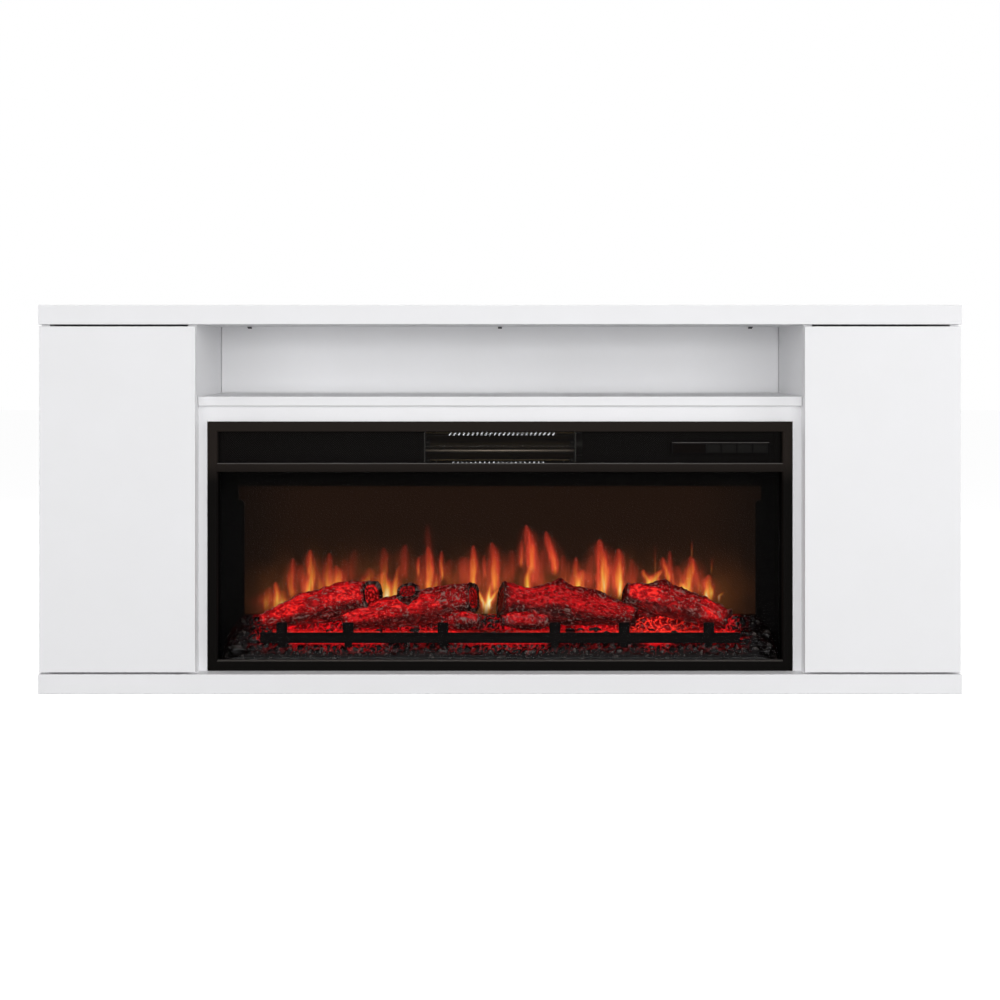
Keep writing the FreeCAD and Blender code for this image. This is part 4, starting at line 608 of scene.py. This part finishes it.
def bedSurface(low, high):
    # profile in Y and Z carried along X; coals rise as rounded cells, and both ends slope down (mm)
    front, back, floor, brow = low[1], high[1], low[2], high[2]
    lip, crest, shelf = floor + bedShape["lipMm"], front + bedShape["slopeMm"], bedShape["shelf"]
    moundFoot, moundBrow = bedShape["mound"]
    corners = np.array([(front, floor), (front, lip), (crest, shelf - 1), (crest + 10, shelf),
                        (moundFoot, shelf), (moundBrow, brow), (back, brow)])
    steps = np.sqrt((np.diff(corners, axis=0) ** 2).sum(axis=1))
    run = np.concatenate([[0], np.cumsum(steps)])
    s = np.linspace(0, run[-1], int(run[-1] / bedShape["rowMm"]))
    y, z = (np.interp(s, run, corners[:, k]) for k in (0, 1))
    x = np.linspace(low[0], high[0], int((high[0] - low[0]) / bedShape["columnMm"]))
    grid = np.stack(np.broadcast_arrays(x[:, None], y[None], z[None]), axis=-1).copy()
    warp = np.stack([fractal(grid / bedShape["warpMm"] + 40 * k, 2, 40 + k) for k in range(3)], axis=-1)
    nearest, second = cells((grid + warp * bedShape["warpBy"]) / bedShape["coalMm"], 3)
    coal = np.clip(1 - nearest / 0.75, 0, 1) ** 0.7
    crack = np.exp(-((second - nearest) / 0.10) ** 2)
    grit = fractal(grid / bedShape["gritMm"], 3, 21)
    free = smooth(front + 1, front + 8, grid[..., 1])
    lift = (bedShape["coalRiseMm"] * (coal - 0.45) + bedShape["gritRiseMm"] * grit) * free
    lean = smooth(shelf, shelf - 30, grid[..., 2])
    lift = lift * (1 - 0.45 * smooth(*bedShape["covered"], grid[..., 1]))
    seatFrom, seatTo = bedShape["seat"]
    seated = (grid[..., 1] > seatFrom) & (grid[..., 1] < seatTo)
    lift = np.where(seated, np.minimum(lift, 0.0), lift)
    grid[..., 2] += lift * (1 - 0.4 * lean)
    grid[..., 1] -= lift * 0.5 * lean * free
    end = np.clip((np.abs(grid[..., 0]) - (high[0] - bedShape["endSlopeMm"])) / bedShape["endSlopeMm"], 0, 1)
    grid[..., 2] = floor + (grid[..., 2] - floor) * (1 - bedShape["endDrop"] * end ** 1.6)
    grid[..., 1] = np.maximum(grid[..., 1], front)
    grid[..., 2] = np.minimum(np.maximum(grid[..., 2], floor), brow)
    return grid, coal, crack, grit


def bedColours(grid, crest, coal, crack, grit):
    # light: a red fill and a bright lip on the shelf, a hot net under the right-hand log, thin cracks in the
    # middle and on the upper slope, and nothing at the foot or the ends, the fill dimmed above the shelf as
    # painted shadow of the logs; paint: char with ash and painted glints on the coals
    across, height, shelf = grid[..., 0], grid[..., 2], bedShape["shelf"]
    reach = smooth(*bedLight["slopeEnds"], np.abs(across))
    patch = 0.5 + 0.5 * fractal(grid / bedLight["patchMm"], 2, 31)
    slope = smooth(*bedLight["slopeLevels"], height) * (0.01 + 0.99 * reach)
    slope = slope * (0.25 + 0.75 * smooth(0.32, 0.6, patch))
    top = smooth(shelf - 8, shelf - 2, height) * smooth(*bedLight["shelfEnds"], np.abs(across))
    middle, half = bedLight["darkMiddle"]
    top = top * (1 - 0.8 * np.exp(-((across - middle) / half) ** 2))
    middle, half = bedLight["hotNet"]
    hotNet = np.exp(-((across - middle) / half) ** 2) * top
    opened = sum(strength * np.exp(-((across - middle) / half) ** 4)
                 for middle, half, strength in bedLight["gaps"])
    lipLine = smooth(crest + 16, crest + 4, grid[..., 1]) * top
    lipLine = lipLine * smooth(*bedLight["lipFade"], np.abs(across - bedLight["lipMiddle"]))
    lipLine = lipLine * (0.5 + 0.5 * patch)
    vein = crack ** 2 * slope * 0.9 + crack * top * (0.25 + 0.45 * hotNet)
    # painted shadow of the logs: the fill dims above the shelf, on the mound's front beneath them
    shade = 0.25 + 0.75 * smooth(shelf + 12, shelf + 4, height) + 0.5 * hotNet
    fill = top * (0.08 + 0.62 * opened) * (0.4 + 0.6 * smooth(0.2, 0.8, patch + 0.3 * grit))
    fill = fill * np.minimum(shade, 1)
    line = np.exp(-((height - bedLight["lineLevel"]) / bedLight["lineHalf"]) ** 2)
    line = line * smooth(*bedLight["lineEnds"], np.abs(across)) * smooth(0.35, 0.55, patch)
    glow = ember["red"] * (vein + fill + 0.75 * line + 0.5 * lipLine)[..., None]
    glow += ember["hot"] * (0.35 * crack * hotNet + 0.10 * lipLine)[..., None]
    # paint: partly ash, partly painted glints on the coal tops and ridges
    ashAndGlint = smooth(0.78, 1.2, coal + 0.55 * grit)
    paint = ember["char"] * (1 - 0.38 * ashAndGlint)[..., None] + ember["ashAndGlint"] * (0.38 * ashAndGlint)[..., None]
    return {"glow": glow, "paint": paint}


def makeEmberBed():
    # the surface, closed underneath: its profile returns along the casing floor, dark there and at both ends
    low, high = (np.array(v) * 1000 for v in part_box("ember_bed"))
    grid, *crust = bedSurface(low, high)
    under = grid[:, -1:].copy()
    under[..., 2] = low[2]
    points, faces = closeTube(np.concatenate([grid, under], axis=1) / 1000)
    colours = {}
    for layer, values in bedColours(grid, low[1] + bedShape["slopeMm"], *crust).items():
        rings = np.concatenate([values, values[:, -1:] * 0], axis=1)
        colours[layer] = np.concatenate([rings.reshape(-1, 3), np.zeros((2, 3))])
    makePiece("emberBed", points, faces, "ember_resin", ["ember_bed"], colours)


makeEmberBed()
print("ember bed made")


# logs: bark over a bowed, tapering line, with knots, cut ends and light between the flecks
logY = -52.0  # middle of the logs in Y, in mm as all their sizes
logShapes = {
    # ends in X, Y and rise above the shelf, radius at each end, bow, swelling, slant and light of the left
    # and right saw cuts, knots as (share along, angle, spread, height)
    "log_1": {"left": (-455, logY, 12.5), "right": (-243, logY, 64.5), "radii": (14, 25), "bow": 3,
              "swell": 12, "slant": (0.0, 0.85), "cutLit": (0.2, 1.0), "lit": 1.3, "seed": 1,
              "knots": [(0.38, 1.8, 0.07, 5), (0.72, 2.6, 0.14, 2), (0.55, 1.6, 0.05, -3)]},
    "log_2": {"left": (-304, logY, 14), "right": (-50, logY, 58.5), "radii": (19, 26), "bow": -1,
              "swell": 8, "slant": (-0.2, 0.5), "cutLit": (0.4, 0.8), "lit": 1.05, "seed": 2,
              "knots": [(0.86, 1.7, 0.10, 4), (0.70, 1.6, 0.05, -3)]},
    "log_3": {"left": (1, logY, 54.5), "right": (262, logY, 22), "radii": (31, 17), "bow": 6, "swell": 9,
              "slant": (-0.25, 0.45), "cutLit": (0.4, 0.15), "lit": 0.78, "seed": 3,
              "knots": [(0.41, 1.5, 0.06, 11), (0.20, 1.6, 0.09, -9), (0.72, 1.4, 0.08, 3),
                        (0.03, 1.9, 0.06, 3)]},
    "log_4": {"left": (237, logY, 66), "right": (436, logY, 15.5), "radii": (17, 18), "bow": 8, "swell": 11,
              "slant": (-0.2, 0.4), "cutLit": (0.2, 0.15), "lit": 1.45, "seed": 4,
              "knots": [(0.33, 1.5, 0.06, 9), (0.10, 1.7, 0.07, 3), (0.62, 1.5, 0.08, -4)]},
}
# side branches: the sawn stub of log_2, and a low one behind log_4 that rests on the mound
branches = {
    "log_2": {"left": (-169.4, logY, 55), "right": (-175.4, logY - 33, 75), "radii": (19, 19), "bow": 0,
              "swell": 0, "slant": (0.0, 0.0), "cutLit": (0.0, 0.75), "lit": 1.0, "seed": 8, "knots": []},
    "log_4": {"left": (246, logY + 14, 38), "right": (330, logY + 14, 32), "radii": (14, 11), "bow": 0,
              "swell": 2, "slant": (0.0, 0.0), "cutLit": (0.2, 0.2), "lit": 0.9, "seed": 9, "knots": []},
}
barkLook = {
    "stationMm": 1.2, "aroundMm": 1.2, "capRings": 14, "flat": 0.8, "knotTurn": 0.6,
    # size of each kind of roughness along, up and across the log, and its height
    "fineMm": (5.2, 2.8, 2.8), "lumpMm": (20, 13, 13), "flakeMm": (11, 6.5, 6.5), "veinMm": (22, 9, 9),
    "patchMm": (40, 22, 22), "fineRise": 0.7, "lumpRise": 3.0, "flakeRise": 1.6, "veinDeep": 1.0,
    "collarMm": 7, "collarRise": 2.0, "dishMm": 3.0, "growthRise": 0.6, "growthTurns": 22,
}


def barkLog(shape):
    # rings along the bowed line; rings drawn in at both ends make the saw cuts, each with a collar of bark
    lift = np.array([0.0, 0.0, bedShape["shelf"]])
    left, right = np.array(shape["left"]) + lift, np.array(shape["right"]) + lift
    length = np.linalg.norm(right - left)
    along = (right - left) / length
    up = np.cross(along, [0, 1, 0])
    up = up / np.linalg.norm(up)
    deep = np.cross(up, along)
    body = np.linspace(0, 1, int(length / barkLook["stationMm"]))
    capShares = np.linspace(0.06, 0.97, barkLook["capRings"])
    u = np.concatenate([np.zeros_like(capShares), body, np.ones_like(capShares)])
    draw = np.concatenate([capShares, np.ones(len(body)), capShares[::-1]])[:, None]
    count = int(2 * math.pi * max(shape["radii"]) / barkLook["aroundMm"])
    v = np.linspace(0, 2 * math.pi, count, endpoint=False)
    uu, vv = np.meshgrid(u, v, indexing="ij")
    swelling = shape["swell"] * np.sin(math.pi * uu)
    radius = shape["radii"][0] * (1 - uu) + shape["radii"][1] * uu + swelling
    radius = radius * (1 + 0.08 * np.sin(2 * vv + shape["seed"] + 4 * uu) + 0.05 * np.sin(4 * vv - 7 * uu))
    for share, angle, spread, height in shape["knots"]:
        turn = np.abs((vv - angle + math.pi) % (2 * math.pi) - math.pi)
        radius = radius + height * np.exp(-((uu - share) / spread) ** 2 - (turn / barkLook["knotTurn"]) ** 2)
    line = left + (right - left) * uu[..., None] + up * (shape["bow"] * np.sin(math.pi * uu))[..., None]
    side = up * np.sin(vv)[..., None] + deep * (barkLook["flat"] * np.cos(vv))[..., None]
    seed = shape["seed"] * 10
    spot = np.stack([uu * length, radius * np.sin(vv), radius * np.cos(vv)], axis=-1) + shape["seed"] * 97.0
    kinds = {"fine": 0, "lump": 3, "flake": 5, "vein": 7, "patch": 9}  # each with a seed of its own
    fine, lump, flake, vein, patch = (
        fractal(spot / np.array(barkLook[kind + "Mm"]), 2, seed + shift) for kind, shift in kinds.items())
    flake = smooth(0.24, 0.02, np.abs(flake))
    vein = smooth(0.14, 0.02, np.abs(vein))
    patch = 0.5 + shape.get("char", 0.0) + 0.5 * patch
    collar = smooth(barkLook["collarMm"], barkLook["collarMm"] * 0.4, np.minimum(uu, 1 - uu) * length)
    isCap = (draw < 1) & np.ones_like(uu, bool)
    skin = barkLook["fineRise"] * fine + barkLook["lumpRise"] * lump
    skin = skin + barkLook["flakeRise"] * flake * smooth(0.4, 0.6, patch)
    skin = skin - barkLook["veinDeep"] * vein + barkLook["collarRise"] * collar
    rings = line + side * ((radius + np.where(isCap, barkLook["collarRise"] * 0.6, skin)) * draw)[..., None]
    # saw cuts: each end leans by its slant over the last fifth, dished with growth rings
    lean = shape["slant"][0] * smooth(0.2, 0, uu) + shape["slant"][1] * smooth(0.8, 1, uu)
    rings = rings + along * (lean * (rings[..., 1] - line[..., 1]))[..., None]
    inwards = np.where(uu < 0.5, 1.0, -1.0)
    dish = (1 - draw ** 2) * barkLook["dishMm"]
    dish = dish + barkLook["growthRise"] * np.sin(draw * barkLook["growthTurns"] + fine)
    rings = rings + along * (np.where(isCap, dish, 0) * inwards)[..., None]
    rings[..., 2] = np.maximum(rings[..., 2], bedShape["shelf"] + 0.05)  # flat where it lies on the shelf
    cutLit = np.where(uu < 0.5, *shape["cutLit"])
    return rings, {"fine": fine, "flake": flake, "vein": vein, "patch": patch, "collar": collar,
                   "isCap": isCap, "draw": draw, "side": side, "cutLit": cutLit,
                   "topGlow": shape.get("topGlow", 0.0)}


def barkColours(skin, lit):
    # red resin glows between charred patches; grey flakes, partly ash and partly painted glints, curl on the
    # char, the collars and the top edge, and the glow fails there; it fails underneath as painted shade and is
    # painted brighter where the bark faces front; a saw cut glows in its growth rings and is dark round its rim
    paintedFrontLight, upward = -skin["side"][..., 1], skin["side"][..., 2]
    mottle = 0.5 + 0.5 * skin["fine"]
    charred = smooth(0.52, 0.64, skin["patch"] + 0.12 * skin["fine"])
    # painted shade: the glow and the bark darken underneath
    under = smooth(0.15, -0.45, upward)
    brim = smooth(0.82, 0.97, upward)
    dark = 1 - (1 - 0.60 * charred) * (1 - 0.86 * under) * (1 - 0.60 * brim) * (1 - 0.75 * skin["collar"])
    held = np.clip(0.22 + 0.75 * charred * (1 - 0.5 * under) + 0.9 * skin["collar"] + 0.6 * brim, 0, 1)
    # grey flakes: partly ash on the bark, partly painted glints along ridges, collars and the top edge
    fleckAndGlint = skin["flake"] * held * smooth(0.25, 0.70, mottle)
    level = (0.22 + 0.68 * smooth(0.15, 0.85, mottle)) * (1 - dark) + 0.40 * skin["vein"] * (1 - 0.7 * dark)
    level = level + skin["topGlow"] * smooth(0.55, 0.8, upward) * smooth(0.4, 0.6, mottle)
    # painted light: the glow is brighter where the bark faces front and dimmer where it turns away
    level = level * np.clip(0.6 + 0.8 * paintedFrontLight, 0, 1) * (1 - 0.85 * fleckAndGlint)
    rim = smooth(0.70, 0.84, skin["draw"] + 0.10 * skin["fine"])
    growth = 0.5 + 0.5 * np.sin(skin["draw"] * barkLook["growthTurns"] + skin["fine"] * 1.4)
    cut = skin["cutLit"] * (0.05 + 0.85 * growth ** 1.5 * smooth(0.2, 0.7, mottle)) * (1 - rim)
    level = np.where(skin["isCap"], cut, level) * lit
    hot = smooth(0.85, 1.25, level)
    glow = ember["red"] * np.clip(level, 0, 1.1)[..., None] + ember["hot"] * (0.16 * hot)[..., None]
    # painted glints: sparse grey on the dark rim of each saw cut
    rimPaintedGlint = 0.30 * rim * smooth(0.5, 0.85, mottle)
    grey = np.where(skin["isCap"], rimPaintedGlint, 0.75 * fleckAndGlint + 0.04 * dark * mottle)[..., None]
    paint = ember["bark"] * (1 - grey) + ember["fleckAndGlint"] * grey
    return glow, paint


def withEnds(values):
    # a tube's values, and the mean of its first and last ring for the middle points of its ends
    return np.concatenate([values.reshape(-1, 3), values[:1].mean(axis=1), values[-1:].mean(axis=1)])


def logParts(shapes):
    # tubes, glows and paints of several logs, to be joined
    tubes, glows, paints = [], [], []
    for shape in shapes:
        rings, skin = barkLog(shape)
        glow, paint = barkColours(skin, shape["lit"])
        tubes.append(closeTube(rings / 1000))
        glows.append(withEnds(glow))
        paints.append(withEnds(paint))
    return tubes, glows, paints


for name, shape in logShapes.items():
    tubes, glows, paints = logParts([shape, branches[name]] if name in branches else [shape])
    points, faces = joinPieces(tubes)
    colours = {"glow": np.concatenate(glows), "paint": np.concatenate(paints)}
    makePiece("barkLog" + name[-1], points, faces, "log_resin", [name], colours)
print("logs made")


# loose coals and the two short logs under the middle logs
shortLogs = {
    "left": {"left": (-112, logY - 20, 16), "right": (-36, logY - 20, 17), "radii": (7, 8), "bow": 2,
             "swell": 11, "slant": (0, 0.3), "cutLit": (0.1, 0.4), "lit": 0.85, "char": 0.22,
             "topGlow": 0.5, "seed": 6, "knots": [(0.5, 2.6, 0.3, 1)]},
    "right": {"left": (2, logY - 20, 16), "right": (92, logY - 20, 16), "radii": (8, 7), "bow": 2,
              "swell": 11, "slant": (-0.3, 0), "cutLit": (0.4, 0.1), "lit": 0.85, "char": 0.22,
              "topGlow": 0.5, "seed": 7, "knots": [(0.45, 2.4, 0.3, 1)]},
}
looseCoals = {
    "count": 96, "sizeMm": (5.0, 10.5), "seed": 5, "rows": 9, "around": 12, "pole": 0.12, "dent": 0.42,
    "stretch": (0.7, 1.25), "squash": (1.15, 0.85, 0.8), "endGapMm": 14, "shares": (0.12, 1.0), "sunk": 0.15,
    # kept clear: the grate bar, by half its length and its depths behind the front, and the short logs by X
    "barHalf": 452, "barDepths": (4, 22), "shortLogMiddles": (-74, 48), "shortLogHalf": 58,
    "litLevels": (70, 100), "litEnds": (478, 425),
}


def coalLump(middle, size, seed, rng):
    # a flattened ball, its grid open a little at both poles, pushed in and out by noise
    v = np.linspace(looseCoals["pole"], math.pi - looseCoals["pole"], looseCoals["rows"])[:, None]
    u = np.linspace(0, 2 * math.pi, looseCoals["around"], endpoint=False)[None]
    ball = np.stack([np.sin(v) * np.cos(u), np.sin(v) * np.sin(u), np.cos(v) * np.ones_like(u)], axis=-1)
    dent = 1 + looseCoals["dent"] * latticeNoise(ball * 1.6 + seed * 3.1, seed)
    stretch = rng.uniform(*looseCoals["stretch"], 3) * np.array(looseCoals["squash"])
    return middle + ball * (dent * size)[..., None] * stretch, ball


def makeCoals():
    # lumps scattered up the front slope and on the shelf, with light from below on the higher ones
    rng = np.random.default_rng(looseCoals["seed"])
    low, high = (np.array(v) * 1000 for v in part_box("ember_bed"))
    parts, glows, paints = logParts(shortLogs.values())
    for number in range(looseCoals["count"]):
        x = rng.uniform(low[0] + looseCoals["endGapMm"], high[0] - looseCoals["endGapMm"])
        size = rng.uniform(*looseCoals["sizeMm"])
        share = rng.uniform(*looseCoals["shares"])
        behind = bedShape["slopeMm"] * share + (10 if share > 0.9 else 0)
        y = low[1] + behind
        lip = low[2] + bedShape["lipMm"]
        ground = lip + (bedShape["shelf"] - lip) * share
        barFrom, barTo = looseCoals["barDepths"]
        inBar = abs(x) < looseCoals["barHalf"] and barFrom < behind < barTo
        offShortLog = min(abs(x - middle) for middle in looseCoals["shortLogMiddles"])
        if inBar or (share > 0.8 and offShortLog < looseCoals["shortLogHalf"]):
            continue
        rings, ball = coalLump(np.array([x, y, ground + size * looseCoals["sunk"]]), size, number, rng)
        rings[..., 1] = np.maximum(rings[..., 1], low[1])
        parts.append(closeTube(rings / 1000))
        under = smooth(0.1, -0.6, ball[..., 2])
        under = under * smooth(*looseCoals["litLevels"], ground) * smooth(*looseCoals["litEnds"], abs(x))
        # grey on the upper side: partly ash, partly a painted highlight and glints where light falls from above
        ashAndGlint = smooth(0.35, 0.95, ball[..., 2] + 0.3 * latticeNoise(ball * 4.0, number))
        ashAndGlint = 0.22 * ashAndGlint[..., None] ** 2
        glow = ember["red"] * (0.8 * under)[..., None]
        paint = ember["char"] * (1 - ashAndGlint) + ember["ashAndGlint"] * ashAndGlint
        glows.append(withEnds(glow))
        paints.append(withEnds(paint))
    points, faces = joinPieces(parts)
    colours = {"glow": np.concatenate(glows), "paint": np.concatenate(paints)}
    makePiece("coalHeap", points, faces, "ember_resin", ["ember_coals"], colours)


makeCoals()
print("coals made")


# heater: combs of bright tabs above and below the trough, a guard bar, the wire coil in the tube (metres)
trimInset = 0.0019  # from a tube holder's outer face to where the trim ends, just within its sheet
combs = {
    "thick": 0.0012, "rail": 0.0005, "setBack": 0.004, "proud": 0.0001,
    # rail level, first and last tooth, pitch, tooth width and height, lean
    "upper": (0.4728, -0.096, 0.100, 0.0084, 0.0030, 0.0058, 0.0030),
    "lower": (0.4200, -0.089, 0.086, 0.0084, 0.0030, 0.0037, 0.0),
}


def makeCombs():
    # a dark rail from holder to holder, with bright slanting teeth
    rails, teeth = [], []
    low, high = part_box("tube_holders")
    front = low[1] + combs["setBack"]
    back = front + combs["thick"]
    reach = high[0] - trimInset
    for level, first, last, pitch, wide, tall, lean in (combs["upper"], combs["lower"]):
        rails.append(boxFaces((-reach, front, level), (reach, back, level + combs["rail"])))
        for x in np.arange(first, last, pitch):
            foot = (x, front - combs["proud"], level + combs["rail"] * 0.5)
            teeth.append(boxFaces(foot, (x + wide, back, level + tall), (lean, 0, 0)))
    makePiece("combRails", *joinPieces(rails), "motor_steel", shaded=False)
    makePiece("combTeeth", *joinPieces(teeth), "zinc_plated_steel", shaded=False, finish="comb_tabs")


guard = {"level": 0.4448, "radius": 0.0040, "setBack": 0.006, "sides": 16,
         "posts": (0.4262, 0.4600), "postRadius": 0.0045, "postLength": 0.009}


def rodAlongX(start, end, y, z, radius):
    # a circle carried from X start to X end, its rims eased by a drawn-in ring at each end
    turn = np.linspace(0, 2 * math.pi, guard["sides"], endpoint=False)
    ring = np.stack([np.zeros_like(turn), np.cos(turn), np.sin(turn)], axis=-1)
    ease = radius * 0.25
    stations = [(start, radius - ease), (start + ease, radius), (end - ease, radius), (end, radius - ease)]
    return closeTube(np.stack([ring * size + np.array([x, y, z]) for x, size in stations]))


def makeGuard():
    # a heat-tinted guard bar between the holders, and two terminal posts on the inside of each
    low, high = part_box("tube_holders")
    inner = high[0] - trimInset
    front = low[1] + guard["setBack"]
    bar = rodAlongX(-inner, inner, front, guard["level"], guard["radius"])
    makePiece("guardBar", *bar, "gold_reflector", finish="guard_bar")
    posts = []
    ends = [(-inner, -inner + guard["postLength"]), (inner - guard["postLength"], inner)]
    for level in guard["posts"]:
        for start, end in ends:
            posts.append(rodAlongX(start, end, front + guard["postRadius"], level, guard["postRadius"]))
    makePiece("terminalPosts", *joinPieces(posts), "motor_steel")


wireCoil = {"radius": 0.0026, "wire": 0.0005, "turns": 60, "perTurn": 14, "section": 6}


def makeWireCoil():
    # a helix along the tube's axis with a round section
    low, high = (np.array(v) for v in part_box("quartz_tube"))
    axis = (low + high) / 2
    t = np.linspace(0, 1, wireCoil["turns"] * wireCoil["perTurn"])
    angle = 2 * math.pi * wireCoil["turns"] * t
    outward = np.stack([np.zeros_like(t), np.cos(angle), np.sin(angle)], axis=-1)
    line = axis + outward * wireCoil["radius"]
    line[:, 0] = low[0] + (high[0] - low[0]) * t
    turn = np.linspace(0, 2 * math.pi, wireCoil["section"], endpoint=False)
    sideways = np.array([1.0, 0.0, 0.0])
    ring = outward[:, None] * np.cos(turn)[None, :, None] + sideways * np.sin(turn)[None, :, None]
    points, faces = closeTube(line[:, None] + ring * wireCoil["wire"])
    makePiece("wireCoil", points, faces, "motor_steel")


makeCombs()
makeGuard()
makeWireCoil()
print("heater made")


# stage: white floor and surround, soft light and the camera
stage = {"floorSize": 40.0, "ambient": 0.12, "floorLight": 0.95, "floorShadow": 0.24, "paper": 0.35}


def seenDirectly(tree):
    # 1 for what the camera, a mirror or glass sees, 0 for light that falls on the object
    path = addNode(tree, "LightPath")
    seen = addNode(tree, "Math", {
        0: (path, "Is Camera Ray"), 1: (path, "Is Glossy Ray")}, operation="MAXIMUM")
    return addNode(tree, "Math", {0: (seen, 0), 1: (path, "Is Transmission Ray")}, operation="MAXIMUM")


def makeFloor():
    # a wide flat sheet: near white to the camera with a soft shadow on it, and grey paper to the light
    half = stage["floorSize"] / 2
    mesh = bpy.data.meshes.new("studioFloor")
    corners = [(-half, -half, 0), (half, -half, 0), (half, half, 0), (-half, half, 0)]
    mesh.from_pydata(corners, [], [(0, 1, 2, 3)])
    floor = bpy.data.objects.new("studioFloor", mesh)
    scene.collection.objects.link(floor)
    material, tree = newMaterial("white_studio_floor")
    paper = addNode(tree, "BsdfDiffuse", {"Color": [stage["paper"]] * 3 + [1.0]})
    lit = addNode(tree, "Emission", {"Color": linear("#ffffff"), "Strength": stage["floorLight"]})
    soft = addNode(tree, "BsdfDiffuse", {"Color": [stage["floorShadow"]] * 3 + [1.0]})
    both = addNode(tree, "AddShader", {0: (lit, 0), 1: (soft, 0)})
    mixed = addNode(tree, "MixShader", {"Fac": (seenDirectly(tree), 0), 1: (paper, 0), 2: (both, 0)})
    finishMaterial(tree, mixed)
    mesh.materials.append(material)


def makeWorld():
    # a weak even light on the object, and plain white where it is seen
    world = bpy.data.worlds.new("studio")
    scene.world = world
    world.use_nodes = True
    tree = world.node_tree
    tree.nodes.clear()
    fill = addNode(tree, "Background", {"Color": linear("#fbfbff"), "Strength": stage["ambient"]})
    white = addNode(tree, "Background", {"Color": linear("#ffffff"), "Strength": 1.0})
    mixed = addNode(tree, "MixShader", {"Fac": (seenDirectly(tree), 0), 1: (fill, 0), 2: (white, 0)})
    addNode(tree, "OutputWorld", {"Surface": (mixed, 0)})


lamps = {
    "frontLow": {"place": (0.0, -4.7, 0.75), "aim": (0.0, 0.0, 0.5), "size": (5.6, 1.0), "watts": 106},
    "frontHigh": {"place": (0.0, -4.6, 1.45), "aim": (0.0, 0.0, 0.5), "size": (5.6, 1.0), "watts": 40},
    "rightWide": {"place": (4.2, -2.4, 1.10), "aim": (0.0, 0.0, 0.5), "size": (1.6, 1.3), "watts": 35},
    "rightSide": {"place": (4.4, -1.3, 0.95), "aim": (0.0, 0.0, 0.5), "size": (1.2, 1.0), "watts": 36},
    "leftSide": {"place": (-4.4, -1.3, 0.95), "aim": (0.0, 0.0, 0.5), "size": (1.2, 1.0), "watts": 42},
    "top": {"place": (0.0, 0.3, 3.6), "aim": (0.0, 0.3, 0.0), "size": (2.4, 1.2), "watts": 50},
    "rear": {"place": (0.8, 4.4, 1.6), "aim": (0.0, 0.0, 0.4), "size": (4.0, 1.4), "watts": 70},
}


def makeLamps():
    # flat rectangles, each turned to face its aim
    for name, lamp in lamps.items():
        data = bpy.data.lights.new(name, "AREA")
        data.shape = "RECTANGLE"
        data.size, data.size_y = lamp["size"]
        data.energy = lamp["watts"]
        light = bpy.data.objects.new(name, data)
        scene.collection.objects.link(light)
        place = np.array(lamp["place"])
        away = place - np.array(lamp["aim"])
        light.location = place
        tilt = math.acos(away[2] / np.linalg.norm(away))
        light.rotation_euler = (tilt, 0, math.atan2(away[1], away[0]) + math.pi / 2)


view = {"place": (0.0, -4.35, 0.6293), "lens": 81.2, "sensor": 36, "shift": (0.0, -0.148)}


def makeCamera():
    # level, straight at the front; the shift keeps upright edges upright
    data = bpy.data.cameras.new("photoView")
    data.lens = view["lens"]
    data.sensor_width = view["sensor"]
    data.shift_x, data.shift_y = view["shift"]
    camera = bpy.data.objects.new("photoView", data)
    camera.location = view["place"]
    camera.rotation_euler = (math.pi / 2, 0, 0)
    scene.collection.objects.link(camera)
    scene.camera = camera


makeFloor()
makeWorld()
makeLamps()
makeCamera()
scene.view_settings.view_transform = "Standard"
print("stage made")
